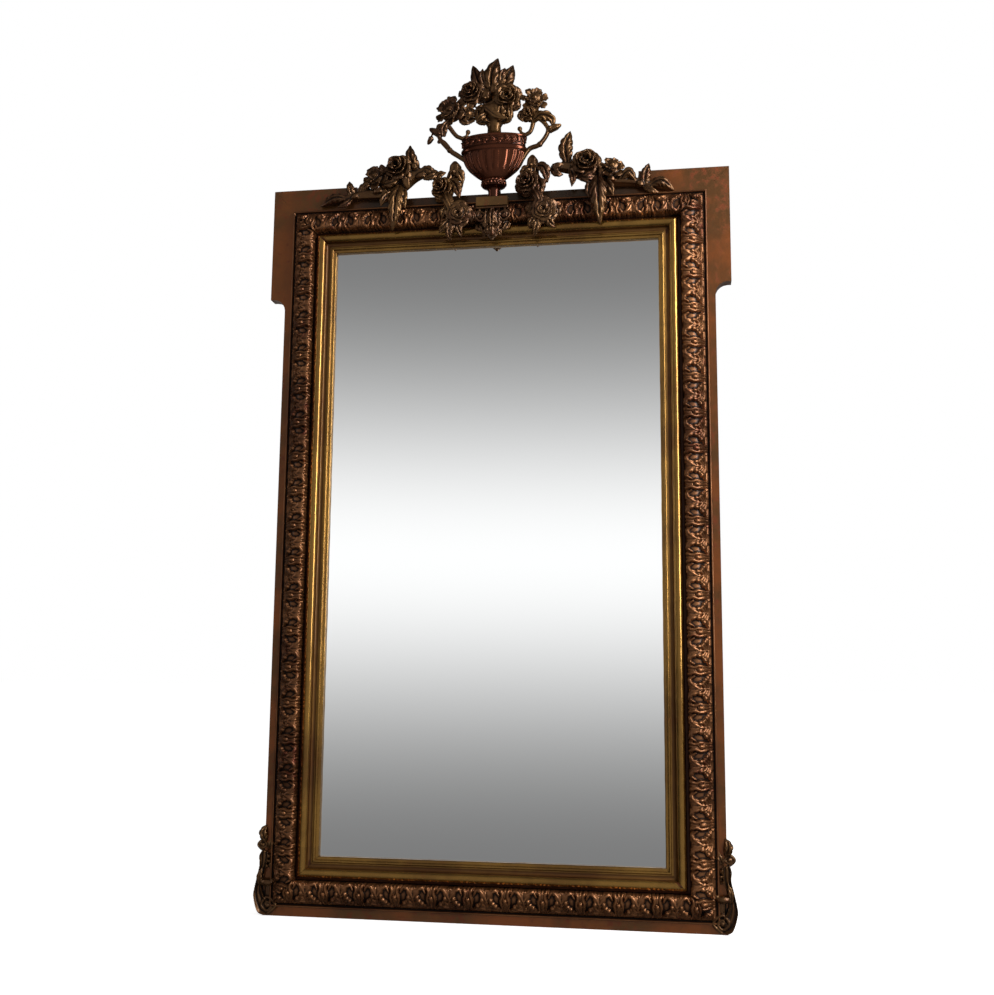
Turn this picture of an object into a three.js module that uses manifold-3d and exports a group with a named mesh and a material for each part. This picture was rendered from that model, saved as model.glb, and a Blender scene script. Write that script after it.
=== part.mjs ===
// A gilded trumeau mirror in the Louis XVI manner: a tall pine frame with eared upper corners, two runs
// of mitred moulding round the glass, a carved crest of an urn, roses and garlands, and a scroll on each
// lower corner. Millimetres. x runs to the right, y into the wall, z up. The pieces are laid out round
// the centre of the glass, and the wall is the plane y = 0.
import * as THREE from 'three';
import { mergeVertices } from 'three/addons/utils/BufferGeometryUtils.js';
import Module from 'manifold-3d';

const wasm = await Module();
wasm.setup();

// ---- Driving dimensions --------------------------------------------------------------------------

// Glass
const SIGHT_WIDTH = 700; // the glass that shows
const SIGHT_HEIGHT = 1281;
const GLASS_THICKNESS = 5;
const GLASS_COVER = 8; // glass hidden behind the lip, on each side
const GLASS_PLAY = 3; // room between the glass and the carcass

// Carcass
const CARCASS_THICKNESS = 28;
const STILE_MARGIN = 117; // from the sight edge to the outer edge of a stile
const RAIL_MARGIN = 121; // from the sight edge to the outer edge of a rail
const EAR_REACH = 33; // how far an ear stands out past the stile and the rail
const EAR_UPRIGHT_LENGTH = 252;
const EAR_HEAD_LENGTH = 190;
const EAR_COVE = 26; // radius of the hollow under the end of each ear

// Back
const BACK_REBATE_WIDTH = 12;
const BACK_REBATE_DEPTH = 10;
const BACK_BOARD_THICKNESS = 8;
const BACK_BOARD_GAP = 1; // shrinkage gap round each back board
const CROSS_RAIL_WIDTH = 90;
const CROSS_RAIL_HOUSING = 30; // how far the cross rail is let into each stile
const BLOCK_WIDTH = 14; // glazing blocks
const BLOCK_LENGTH = 40;
const BLOCK_DEPTH = 12;

// Sight moulding: widths outwards from the sight edge, heights proud of the carcass
const LIP_WIDTH = 6;
const LIP_HEIGHT = 8;
const SIGHT_FILLET_WIDTH = 6;
const SIGHT_FILLET_HEIGHT = 12;
const COVE_WIDTH = 10;
const COVE_DEPTH = 3;
const BEAD_WIDTH = 19;
const BEAD_HEIGHT = 22;
const GROOVE_WIDTH = 6;
const GROOVE_HEIGHT = 6;

// Leaf moulding, outside it
const LEAF_WIDTH = 48;
const LEAF_CREST_HEIGHT = 34;
const LEAF_CREST_WIDTH = 10; // from the groove to the crest of the leaves
const LEAF_INNER_HEIGHT = 26;
const LEAF_OUTER_HEIGHT = 12;
const OUTER_GROOVE_WIDTH = 3;
const OUTER_GROOVE_HEIGHT = 3;
const OUTER_FILLET_WIDTH = 4;
const OUTER_FILLET_HEIGHT = 8;

// Hanger plates, let into the back of the top rail
const HANGER_SPACING = 500;
const HANGER_WIDTH = 34;
const HANGER_HEIGHT = 66;
const HANGER_THICKNESS = 2.5;
const KEYHOLE_RADIUS = 7;
const KEYHOLE_SLOT_WIDTH = 8;
const KEYHOLE_TRAVEL = 14;
const KEYHOLE_FACES = 16;
const POCKET_DEPTH = 12; // room for the head of the wall screw
const POCKET_MARGIN = 3;
const HANGER_SCREW_SPACING = 52;

// Screws
const SCREW_HEAD_RADIUS = 4.2;
const SCREW_HEAD_DEPTH = 2.4;
const SCREW_SHANK_RADIUS = 1.9;
const SCREW_LENGTH = 18;
const SCREW_FACES = 8;

// Strap behind the crest
const STRAP_WIDTH = 18;
const STRAP_THICKNESS = 3;
const STRAP_LET_IN = 44; // length let into the rail
const STRAP_JOGGLE_START = 6; // heights above the rail
const STRAP_JOGGLE_END = 26;
const STRAP_REACH = 106;
const STRAP_SCREW_MARGIN = 14;

// Crest. Its heights are above the top edge of the rail, its depths proud of the carcass
const CREST_BACK = 15; // the flat back of the crest, from the wall
const PLINTH_WIDTH = 68;
const PLINTH_TOP = -24;
const PLINTH_HEIGHT = 19.5;
const PLINTH_PROUD = 43;
const PENDANT_LENGTH = 75;
const PENDANT_PROUD = 41;
const PENDANT_VOLUTE_RADIUS = 12;
const PENDANT_BALL_RADIUS = 13;
const URN_PROUD = 17; // the axis of the urn
const URN_RADIUS = 72;
const URN_FACES = 20;
const URN_FLATNESS = 0.42; // depth of the bowl over its width
const STEM_FLATNESS = 0.8;
const FOOT_HEIGHT = 45.5;
const FOOT_RADIUS = 27;
const FOOT_STEM_RADIUS = 12;
const BOWL_HEIGHT = 98;
const FRIEZE_HEIGHT = 25;
const TORUS_HEIGHT = 11;
const NECK_RADIUS = 15.5;
const NECK_HEIGHT = 32;
const CUP_RADIUS = 35;
const CUP_HEIGHT = 42;
const GARLAND_MARGIN = 76; // from the end of a garland to the outer edge of the stile

// Corner scrolls. Offsets from the outer corner of the carcass
const SCROLL_DEPTH = 38;
const SCROLL_OVERHANG = 19;
const SCROLL_HEIGHT = 129; // to the foot of the curl
const VOLUTE_RADIUS = 19.5;
const VOLUTE_INSET = 10;
const VOLUTE_LIFT = 1;
const ROLL_HEIGHT = 66;
const ROLL_HALF_LENGTH = 14;
const ROLL_RADIUS = 7;
const CURL_RADIUS = 11;
const CURL_DEPTH = 30;
const SPRIG_LENGTH = 42; // the leaf above the curl

// Clearances
const SEAT = 0.3; // left between a carved piece and what carries it
const MITRE_GAP = 0.2; // taken off each end of a mitred moulding
const SCREW_CLEARANCE = 0.3;
const URN_CLEARANCE = 0.6; // wider, because the urn is flattened

// ---- Sizes that follow ---------------------------------------------------------------------------

const HALF_SIGHT_WIDTH = SIGHT_WIDTH / 2;
const HALF_SIGHT_HEIGHT = SIGHT_HEIGHT / 2;
const SIDE_EDGE = HALF_SIGHT_WIDTH + STILE_MARGIN;
const TOP_EDGE = HALF_SIGHT_HEIGHT + RAIL_MARGIN;
const OPENING_MARGIN = GLASS_COVER + GLASS_PLAY;
const OPENING_SIDE = HALF_SIGHT_WIDTH + OPENING_MARGIN;
const OPENING_TOP = HALF_SIGHT_HEIGHT + OPENING_MARGIN;
const REBATE_SIDE = OPENING_SIDE + BACK_REBATE_WIDTH;
const REBATE_TOP = OPENING_TOP + BACK_REBATE_WIDTH;
const RAIL_MIDDLE = (OPENING_TOP + TOP_EDGE) / 2;
const LAP = CARCASS_THICKNESS / 2;
const GLASS_BACK = CARCASS_THICKNESS - GLASS_THICKNESS;
const SIGHT_MOULDING_WIDTH = LIP_WIDTH + SIGHT_FILLET_WIDTH + COVE_WIDTH + BEAD_WIDTH + GROOVE_WIDTH;
const LEAF_MOULDING_WIDTH = LEAF_WIDTH + OUTER_GROOVE_WIDTH + OUTER_FILLET_WIDTH;
const GARLAND_END = SIDE_EDGE - GARLAND_MARGIN;

// ---- Materials -----------------------------------------------------------------------------------

function finish(color, roughness, metalness) {
  return new THREE.MeshStandardMaterial({ color, roughness, metalness });
}

const LEAF_GILT = finish(0x6b4a2c, 0.45, 0.7);
const BEAD_GILT = finish(0x8a7230, 0.4, 0.8);
const BOARD_GILT = finish(0x6e4523, 0.5, 0.5);
const CARVED_GILT = finish(0x6d5430, 0.45, 0.7);
const URN_GILT = finish(0x7c4526, 0.4, 0.7);
const MIRROR = finish(0xb9bcc0, 0.05, 1);
const PINE = finish(0xa37b4f, 0.8, 0);
const IRON = finish(0x4a4642, 0.6, 0.9);

// ---- Solids --------------------------------------------------------------------------------------

function solidOf(geometry) {
  geometry.deleteAttribute('normal');
  geometry.deleteAttribute('uv');
  const welded = mergeVertices(geometry, 1e-4);
  const corners = welded.index.array;
  const faces = [];
  for (let i = 0; i < corners.length; i += 3) {
    const [a, b, c] = corners.slice(i, i + 3);
    if (a !== b && b !== c && c !== a) faces.push(a, b, c);
  }
  const vertProperties = welded.getAttribute('position').array;
  return new wasm.Manifold(new wasm.Mesh({ numProp: 3, vertProperties, triVerts: new Uint32Array(faces) }));
}

function geometryOf(solid) {
  const mesh = solid.getMesh();
  const geometry = new THREE.BufferGeometry();
  geometry.setAttribute('position', new THREE.BufferAttribute(mesh.vertProperties, 3));
  geometry.setIndex(new THREE.BufferAttribute(mesh.triVerts, 1));
  geometry.computeVertexNormals();
  return geometry;
}

const joined = (solids) => solids.reduce((whole, solid) => whole.add(solid));
const cut = (solid, cutters) => cutters.reduce((rest, cutter) => rest.subtract(cutter), solid);

// A carving cut to fit its neighbours, without the offcuts.
function fitted(solid, neighbours) {
  const pieces = cut(solid, neighbours).decompose();
  return pieces.reduce((largest, piece) => (piece.volume() > largest.volume() ? piece : largest));
}

// A box between two values on each axis.
function box([x0, x1], [y0, y1], [z0, z1]) {
  const geometry = new THREE.BoxGeometry(x1 - x0, y1 - y0, z1 - z0);
  geometry.translate((x0 + x1) / 2, (y0 + y1) / 2, (z0 + z1) / 2);
  return solidOf(geometry);
}

// A compact solid made larger by a clearance on every side, to cut its neighbours with.
function swollen(solid, clearance) {
  const { min, max } = solid.boundingBox();
  const middle = min.map((low, i) => (low + max[i]) / 2);
  const scale = min.map((low, i) => 1 + (2 * clearance) / (max[i] - low));
  return solid.translate(middle.map((m) => -m)).scale(scale).translate(middle);
}

const TOWARDS_ROOM = new THREE.Vector3(0, -1, 0);
const shapeOf = (points) => new THREE.Shape(points.map(([x, y]) => new THREE.Vector2(x, y)));

const QUARTER = Math.PI / 2;

// Points along an arc, with both ends.
function arc(centreX, centreY, radius, from, to, steps) {
  return Array.from({ length: steps + 1 }, (_, i) => {
    const angle = from + ((to - from) * i) / steps;
    return [centreX + radius * Math.cos(angle), centreY + radius * Math.sin(angle)];
  });
}

// A closed counter-clockwise outline moved outwards by a clearance.
function widened(points, clearance) {
  const normal = ([ax, ay], [bx, by]) => {
    const length = Math.hypot(bx - ax, by - ay);
    return [(by - ay) / length, (ax - bx) / length];
  };
  return points.map((point, i) => {
    const before = normal(points.at(i - 1), point);
    const after = normal(point, points[(i + 1) % points.length]);
    const reach = clearance / (1 + before[0] * after[0] + before[1] * after[1]);
    return [point[0] + (before[0] + after[0]) * reach, point[1] + (before[1] + after[1]) * reach];
  });
}

// An outline in x and z, made thick from the wall side depth `near` to the depth `far` before the wall.
function slab(points, near, far) {
  const geometry = new THREE.ExtrudeGeometry(shapeOf(points), { depth: far - near, bevelEnabled: false });
  geometry.rotateX(Math.PI / 2);
  geometry.translate(0, -near, 0);
  return solidOf(geometry);
}

// A profile of radii and heights turned round an upright axis, flattened in depth.
function turned(profile, flatness, segments) {
  const geometry = new THREE.LatheGeometry(profile.map(([r, h]) => new THREE.Vector2(r, h)), segments);
  geometry.rotateX(Math.PI / 2);
  geometry.scale(1, flatness, 1);
  return solidOf(geometry);
}

// ---- Frame ---------------------------------------------------------------------------------------

// Section of the sight moulding: x outwards from the sight edge, y proud of the carcass.
function sightSection() {
  const filletOuter = LIP_WIDTH + SIGHT_FILLET_WIDTH;
  const beadInner = filletOuter + COVE_WIDTH;
  const beadOuter = beadInner + BEAD_WIDTH;
  const beadRadius = BEAD_WIDTH / 2;
  const beadSpring = BEAD_HEIGHT - beadRadius;
  const coveHalf = COVE_WIDTH / 2;
  const coveRadius = (coveHalf ** 2 + COVE_DEPTH ** 2) / (2 * COVE_DEPTH);
  const coveAngle = Math.asin(coveHalf / coveRadius);
  const coveCentre = SIGHT_FILLET_HEIGHT - COVE_DEPTH + coveRadius;
  return [
    [0, 0],
    [SIGHT_MOULDING_WIDTH, 0],
    [SIGHT_MOULDING_WIDTH, GROOVE_HEIGHT],
    [beadOuter, GROOVE_HEIGHT],
    ...arc(beadInner + beadRadius, beadSpring, beadRadius, 0, Math.PI, 6),
    ...arc(filletOuter + coveHalf, coveCentre, coveRadius, coveAngle - QUARTER, -coveAngle - QUARTER, 4),
    [LIP_WIDTH, SIGHT_FILLET_HEIGHT],
    [LIP_WIDTH, LIP_HEIGHT],
    [0, LIP_HEIGHT],
  ];
}

// Section of the leaf moulding, beside it: the leaves' envelope, the outer groove and the outer fillet.
function leafSection() {
  const inner = SIGHT_MOULDING_WIDTH;
  const leafOuter = inner + LEAF_WIDTH;
  const filletInner = leafOuter + OUTER_GROOVE_WIDTH;
  const outer = inner + LEAF_MOULDING_WIDTH;
  const slope = new THREE.QuadraticBezierCurve(
    new THREE.Vector2(leafOuter, LEAF_OUTER_HEIGHT),
    new THREE.Vector2(leafOuter - LEAF_CREST_WIDTH, LEAF_CREST_HEIGHT),
    new THREE.Vector2(inner + LEAF_CREST_WIDTH, LEAF_CREST_HEIGHT),
  );
  return [
    [inner, 0],
    [outer, 0],
    [outer, OUTER_FILLET_HEIGHT],
    [filletInner, OUTER_FILLET_HEIGHT],
    [filletInner, OUTER_GROOVE_HEIGHT],
    [leafOuter, OUTER_GROOVE_HEIGHT],
    ...slope.getPoints(6).map((point) => point.toArray()),
    [inner, LEAF_INNER_HEIGHT],
  ];
}

// A mitred length of moulding on the right-hand side of a frame of the given half sizes.
function mitredStick(section, halfAcross, halfAlong, endGap) {
  const geometry = new THREE.ExtrudeGeometry(shapeOf(section), { depth: 1, bevelEnabled: false });
  const position = geometry.getAttribute('position');
  for (let i = 0; i < position.count; i++) {
    const outwards = position.getX(i);
    const end = position.getZ(i) > 0.5 ? -1 : 1;
    const z = end * (halfAlong + outwards - endGap);
    position.setXYZ(i, halfAcross + outwards, -CARCASS_THICKNESS - position.getY(i), z);
  }
  return solidOf(geometry);
}

const SIDES = [
  { side: 'right', turn: 0, halfAcross: HALF_SIGHT_WIDTH, halfAlong: HALF_SIGHT_HEIGHT },
  { side: 'left', turn: 180, halfAcross: HALF_SIGHT_WIDTH, halfAlong: HALF_SIGHT_HEIGHT },
  { side: 'top', turn: -90, halfAcross: HALF_SIGHT_HEIGHT, halfAlong: HALF_SIGHT_WIDTH },
  { side: 'bottom', turn: 90, halfAcross: HALF_SIGHT_HEIGHT, halfAlong: HALF_SIGHT_WIDTH },
];

// Both mouldings of one side with a clearance all round, to cut carved pieces with.
function mouldingBed(name) {
  const { turn, halfAcross, halfAlong } = SIDES.find(({ side }) => side === name);
  const sections = [sightSection(), leafSection()];
  const sticks = sections.map((s) => mitredStick(widened(s, SEAT), halfAcross, halfAlong, -SEAT));
  return joined(sticks).rotate([0, turn, 0]);
}

// Outline of an ear from its outer corner: x along the ear, y outwards from the edge that carries it.
function earOutline(length) {
  return [
    [EAR_REACH + MITRE_GAP, 0],
    [length + EAR_COVE, 0],
    ...arc(length + EAR_COVE, EAR_COVE, EAR_COVE, -QUARTER, -Math.PI, 5).slice(1),
    [length, EAR_REACH],
    [MITRE_GAP, EAR_REACH],
  ];
}

const earUprightAt = ([along, out]) => [SIDE_EDGE + out, TOP_EDGE + EAR_REACH - along];
const earHeadAt = ([along, out]) => [SIDE_EDGE + EAR_REACH - along, TOP_EDGE + out];
const EAR_UPRIGHT = earOutline(EAR_UPRIGHT_LENGTH).map(earUprightAt);
const EAR_HEAD = earOutline(EAR_HEAD_LENGTH).map(earHeadAt).reverse();

const mirrored = (solid) => solid.mirror([1, 0, 0]);
const rightAndLeft = (make) => [
  ['right', make()],
  ['left', mirrored(make())],
];

const backRebate = box([-REBATE_SIDE, REBATE_SIDE], [-BACK_REBATE_DEPTH, 1], [-REBATE_TOP, REBATE_TOP]);
const crossRail = box(
  [-REBATE_SIDE - CROSS_RAIL_HOUSING, REBATE_SIDE + CROSS_RAIL_HOUSING],
  [-BACK_REBATE_DEPTH, 0],
  [-CROSS_RAIL_WIDTH / 2, CROSS_RAIL_WIDTH / 2],
);

// The back half of a stile runs the full height, and the front half stops at the rails.
function stile() {
  const back = box([OPENING_SIDE, SIDE_EDGE], [-LAP, 0], [-TOP_EDGE, TOP_EDGE]);
  const front = box([OPENING_SIDE, SIDE_EDGE], [-CARCASS_THICKNESS, -LAP], [-OPENING_TOP, OPENING_TOP]);
  return cut(back.add(front), [backRebate, crossRail]);
}

// The front half of a rail runs the full width, and the back half stops at the stiles.
function rail() {
  const back = box([-OPENING_SIDE, OPENING_SIDE], [-LAP, 0], [OPENING_TOP, TOP_EDGE]);
  const front = box([-SIDE_EDGE, SIDE_EDGE], [-CARCASS_THICKNESS, -LAP], [OPENING_TOP, TOP_EDGE]);
  return back.add(front).subtract(backRebate);
}

function glass() {
  const halfWidth = HALF_SIGHT_WIDTH + GLASS_COVER;
  const halfHeight = HALF_SIGHT_HEIGHT + GLASS_COVER;
  return box([-halfWidth, halfWidth], [-CARCASS_THICKNESS, -GLASS_BACK], [-halfHeight, halfHeight]);
}

// The right-hand upper back board. The other three mirror it.
function backBoard() {
  return box(
    [BACK_BOARD_GAP / 2, REBATE_SIDE - BACK_BOARD_GAP],
    [-BACK_REBATE_DEPTH, BACK_BOARD_THICKNESS - BACK_REBATE_DEPTH],
    [CROSS_RAIL_WIDTH / 2 + BACK_BOARD_GAP, REBATE_TOP - BACK_BOARD_GAP],
  );
}

// A block glued into the corner between the back of the glass and the right-hand stile, at z = 0.
function glazingBlock() {
  return box(
    [OPENING_SIDE - BLOCK_WIDTH, OPENING_SIDE],
    [-GLASS_BACK, BLOCK_DEPTH - GLASS_BACK],
    [-BLOCK_LENGTH / 2, BLOCK_LENGTH / 2],
  );
}

// ---- Hanging hardware ----------------------------------------------------------------------------

// A countersunk screw driven from the back, its head level with the plane y = 0.
function screw(clearance) {
  const head = SCREW_HEAD_RADIUS + clearance;
  const shank = SCREW_SHANK_RADIUS + clearance;
  const profile = [
    [0, -SCREW_LENGTH - clearance],
    [shank / 2, -SCREW_LENGTH - clearance],
    [shank, -SCREW_LENGTH + shank],
    [shank, -SCREW_HEAD_DEPTH],
    [head, clearance ? 0 : -SCREW_CLEARANCE],
    [head, clearance],
    [0, clearance],
  ];
  return turned(profile, 1, SCREW_FACES).rotate([-90, 0, 0]);
}

const HANGER_SCREWS = [-1, 1].map((end) => (end * HANGER_SCREW_SPACING) / 2);
const hangerScrewAt = (height) => [HANGER_SPACING / 2, 0, RAIL_MIDDLE + height];

// The round entry of the right-hand keyhole and the slot above it, between two depths before the wall.
function keyhole(margin, near, far) {
  const x = HANGER_SPACING / 2;
  const z = RAIL_MIDDLE - KEYHOLE_TRAVEL / 2;
  const radius = KEYHOLE_RADIUS + margin;
  const entry = new THREE.CylinderGeometry(radius, radius, far - near, KEYHOLE_FACES);
  entry.translate(x, -(near + far) / 2, z);
  const half = margin ? radius : KEYHOLE_SLOT_WIDTH / 2;
  const slot = box([x - half, x + half], [-far, -near], [z, z + KEYHOLE_TRAVEL + half]);
  return solidOf(entry).add(slot);
}

function hangerPlate() {
  const x = HANGER_SPACING / 2;
  return box(
    [x - HANGER_WIDTH / 2, x + HANGER_WIDTH / 2],
    [-HANGER_THICKNESS, 0],
    [RAIL_MIDDLE - HANGER_HEIGHT / 2, RAIL_MIDDLE + HANGER_HEIGHT / 2],
  );
}

const hangerScrewHoles = () => HANGER_SCREWS.map((h) => screw(SCREW_CLEARANCE).translate(hangerScrewAt(h)));
const pocket = () => keyhole(POCKET_MARGIN, HANGER_THICKNESS, HANGER_THICKNESS + POCKET_DEPTH);
const hangerCuts = () => [hangerPlate(), pocket(), ...hangerScrewHoles()];

// The strap is let into the rail, then steps forward to the flat back of the urn.
function strap() {
  const foot = TOP_EDGE - STRAP_LET_IN;
  const start = TOP_EDGE + STRAP_JOGGLE_START;
  const end = TOP_EDGE + STRAP_JOGGLE_END;
  const head = TOP_EDGE + STRAP_REACH;
  const back = CREST_BACK - STRAP_THICKNESS;
  const outline = [
    [0, foot],
    [STRAP_THICKNESS, foot],
    [STRAP_THICKNESS, start],
    [CREST_BACK, end],
    [CREST_BACK, head],
    [back, head],
    [back, end],
    [0, start],
  ];
  const geometry = new THREE.ExtrudeGeometry(shapeOf(outline), { depth: STRAP_WIDTH, bevelEnabled: false });
  const upwards = new THREE.Vector3(0, 0, 1);
  const across = new THREE.Vector3(-1, 0, 0);
  geometry.applyMatrix4(new THREE.Matrix4().makeBasis(TOWARDS_ROOM, upwards, across));
  geometry.translate(STRAP_WIDTH / 2, 0, 0);
  return solidOf(geometry);
}

// ---- Carving -------------------------------------------------------------------------------------

// A place on the crest: x from the middle, height above the rail, depth proud of the carcass.
const onCrest = ([x, height, proud]) => new THREE.Vector3(x, -CARCASS_THICKNESS - proud, TOP_EDGE + height);
const LIMB_SIDES = 6;
const LIMB_STEPS = 2; // faces along a limb between two of its places

// A stem or a leaf: a unit rod bent along a curve, with half widths that may change along it.
function limb(places, halfWidth, halfDepth) {
  const curve = new THREE.CatmullRomCurve3(places);
  const geometry = new THREE.CylinderGeometry(1, 1, 1, LIMB_SIDES, LIMB_STEPS * (places.length - 1));
  const position = geometry.getAttribute('position');
  for (let i = 0; i < position.count; i++) {
    const t = position.getY(i) + 0.5;
    const along = curve.getTangentAt(t);
    const across = new THREE.Vector3().crossVectors(along, TOWARDS_ROOM).normalize();
    const outwards = new THREE.Vector3().crossVectors(across, along);
    const place = curve.getPointAt(t);
    place.addScaledVector(across, position.getX(i) * halfWidth(t));
    place.addScaledVector(outwards, position.getZ(i) * halfDepth(t));
    position.setXYZ(i, place.x, place.y, place.z);
  }
  return solidOf(geometry);
}

// A stem of one radius, or one that thins from the first radius to the second.
const stem = (places, radius, endRadius = radius) => {
  const thinning = (t) => radius + (endRadius - radius) * t;
  return limb(places.map(onCrest), thinning, thinning);
};

const LEAF_THICKNESS = 7;
const LEAF_ROOT = 0.12; // how far along its swelling a leaf starts
const LEAF_TIP = 0.08; // share of the width left at the tip
const LEAF_EDGE = 0.4; // share of the thickness left where the leaf has no width

// A pointed leaf from its root to its tip.
const leaf = (places, halfWidth) => {
  const swell = (t) => Math.max(Math.sin(Math.PI * (LEAF_ROOT + (1 - LEAF_ROOT) * t)), LEAF_TIP);
  const halfDepth = (t) => (LEAF_THICKNESS / 2) * (LEAF_EDGE + (1 - LEAF_EDGE) * swell(t));
  return limb(places.map(onCrest), (t) => halfWidth * swell(t), halfDepth);
};

function ball(place, radius, height = radius) {
  const geometry = new THREE.IcosahedronGeometry(1, 1);
  geometry.scale(radius, radius, height);
  geometry.translate(...onCrest(place).toArray());
  return solidOf(geometry);
}

const ROSE_SECTION = [ // radius and height, as shares of the rose's radius, from its back to its heart
  [0, -0.45],
  [0.55, -0.42],
  [1, 0.05],
  [0.72, 0.3],
  [0.5, 0.2],
  [0.34, 0.48],
  [0, 0.42],
];
const PETAL_STEPS = 3; // faces to a petal
const PETAL_NOTCH = 0.12;

// A rose or an open flower that faces the room, with notches between its outer petals.
function rose(place, radius, petals = 5) {
  const profile = ROSE_SECTION.map(([r, h]) => new THREE.Vector2(r * radius, h * radius));
  const geometry = new THREE.LatheGeometry(profile, petals * PETAL_STEPS);
  const position = geometry.getAttribute('position');
  for (let i = 0; i < position.count; i++) {
    const angle = Math.atan2(position.getX(i), position.getZ(i));
    const notch = 1 - PETAL_NOTCH * (1 - Math.abs(Math.sin((petals * angle) / 2)));
    position.setX(i, position.getX(i) * notch);
    position.setZ(i, position.getZ(i) * notch);
  }
  geometry.rotateX(Math.PI);
  geometry.translate(...onCrest(place).toArray());
  return solidOf(geometry);
}

// All that the crest is carved to sit on, with a clearance, and the plane of its flat back.
function crestBed() {
  const railFace = CARCASS_THICKNESS + SEAT;
  const earHead = slab(widened(EAR_HEAD, SEAT), 0, railFace);
  return joined([
    mouldingBed('top'),
    box([-SIDE_EDGE, SIDE_EDGE], [-railFace, 1], [OPENING_TOP, TOP_EDGE + SEAT]),
    earHead,
    mirrored(earHead),
    box([-SIDE_EDGE, SIDE_EDGE], [-CREST_BACK, 1], [TOP_EDGE, TOP_EDGE + SIGHT_WIDTH]),
  ]);
}

const CREST_BED = crestBed();
const BOWL_FOOT = PLINTH_TOP + FOOT_HEIGHT;
const URN_RIM = BOWL_FOOT + BOWL_HEIGHT;
const CUP_FOOT = URN_RIM + NECK_HEIGHT;
const CUP_RIM = CUP_FOOT + CUP_HEIGHT;

// A turned length of the urn, its heights counted from `base` above the rail, or the space it needs.
function urnPart(profile, base, flatness, clearance) {
  const section = clearance ? widened(profile, clearance).map(([r, h]) => [Math.max(r, 0), h]) : profile;
  const raised = section.map(([r, h]) => [r, h + SEAT]);
  return turned(raised, flatness, URN_FACES).translate(onCrest([0, base, URN_PROUD]).toArray());
}

function plinth() {
  const front = CARCASS_THICKNESS + PLINTH_PROUD;
  const top = TOP_EDGE + PLINTH_TOP;
  const block = box([-PLINTH_WIDTH / 2, PLINTH_WIDTH / 2], [-front, 0], [top - PLINTH_HEIGHT, top]);
  return block.subtract(CREST_BED);
}

// The bracket under the plinth: tapered cheeks between two volutes, and a ball drop.
function pendant() {
  const top = PLINTH_TOP - PLINTH_HEIGHT - SEAT;
  const half = PLINTH_WIDTH / 2;
  const tip = top - PENDANT_LENGTH;
  const ballHeight = tip + PENDANT_BALL_RADIUS + 4;
  const cheek = [
    [half + 3, 0],
    [half + 4, -8],
    [half - 5, -30],
    [half - 15, -44],
    [8, -52],
  ];
  const bothCheeks = [...cheek.map(([x, h]) => [-x, h]).reverse(), ...cheek];
  const outline = bothCheeks.map(([x, h]) => [x, TOP_EDGE + top + h]);
  const far = CARCASS_THICKNESS + PENDANT_PROUD;
  const volutes = [-1, 1].map((side) => {
    const roll = new THREE.CylinderGeometry(PENDANT_VOLUTE_RADIUS, PENDANT_VOLUTE_RADIUS, far, 14);
    roll.translate(side * (half - 6), -far / 2, TOP_EDGE + top - 21);
    return solidOf(roll);
  });
  const solids = [
    slab(outline, 0, far - 4),
    ...volutes,
    ball([0, ballHeight, PENDANT_PROUD - 6], PENDANT_BALL_RADIUS),
    ball([0, tip + 6, PENDANT_PROUD - 7], 4, 7),
  ];
  return joined(solids).subtract(CREST_BED);
}

const urnFoot = (clearance = 0) => {
  const stemTop = FOOT_HEIGHT - 15;
  const profile = [
    [0, 0],
    [FOOT_STEM_RADIUS + 5, 0],
    [FOOT_STEM_RADIUS + 5, 4],
    [FOOT_STEM_RADIUS, 10],
    [FOOT_STEM_RADIUS, stemTop - 8],
    [FOOT_STEM_RADIUS + 4, stemTop - 3],
    [FOOT_RADIUS - 3, stemTop],
    [FOOT_RADIUS - 2, stemTop + 5],
    [FOOT_RADIUS, stemTop + 7],
    [FOOT_RADIUS, FOOT_HEIGHT - SEAT],
    [0, FOOT_HEIGHT - SEAT],
  ];
  return urnPart(profile, PLINTH_TOP, STEM_FLATNESS, clearance);
};

const urnBowl = (clearance = 0) => {
  const friezeFoot = BOWL_HEIGHT - FRIEZE_HEIGHT;
  const torusFoot = friezeFoot - TORUS_HEIGHT;
  const swelling = new THREE.QuadraticBezierCurve(
    new THREE.Vector2(FOOT_RADIUS - 1, 0),
    new THREE.Vector2(URN_RADIUS - 6, torusFoot / 2.5),
    new THREE.Vector2(URN_RADIUS - 4, torusFoot),
  );
  const profile = [
    [0, 0],
    ...swelling.getPoints(6).map((point) => point.toArray()),
    [URN_RADIUS + 1, torusFoot + 3],
    [URN_RADIUS + 1, friezeFoot - 3],
    [URN_RADIUS - 2, friezeFoot],
    [URN_RADIUS - 2, BOWL_HEIGHT - 5],
    [URN_RADIUS, BOWL_HEIGHT - 4],
    [URN_RADIUS, BOWL_HEIGHT - SEAT],
    [0, BOWL_HEIGHT - SEAT],
  ];
  return urnPart(profile, BOWL_FOOT, URN_FLATNESS, clearance);
};

// The cover of the urn: a waisted neck and the cup of petals that holds the bouquet.
const urnNeck = (clearance = 0) => {
  const profile = [
    [0, 0],
    [NECK_RADIUS + 8, 0],
    [NECK_RADIUS + 6, 5],
    [NECK_RADIUS, 12],
    [NECK_RADIUS, NECK_HEIGHT - 3],
    [NECK_RADIUS + 3, NECK_HEIGHT],
    [CUP_RADIUS - 5, NECK_HEIGHT + 12],
    [CUP_RADIUS, NECK_HEIGHT + 24],
    [CUP_RADIUS - 2, NECK_HEIGHT + CUP_HEIGHT - 5],
    [CUP_RADIUS - 13, NECK_HEIGHT + CUP_HEIGHT],
    [0, NECK_HEIGHT + CUP_HEIGHT],
  ];
  return urnPart(profile, URN_RIM, STEM_FLATNESS, clearance);
};

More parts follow.
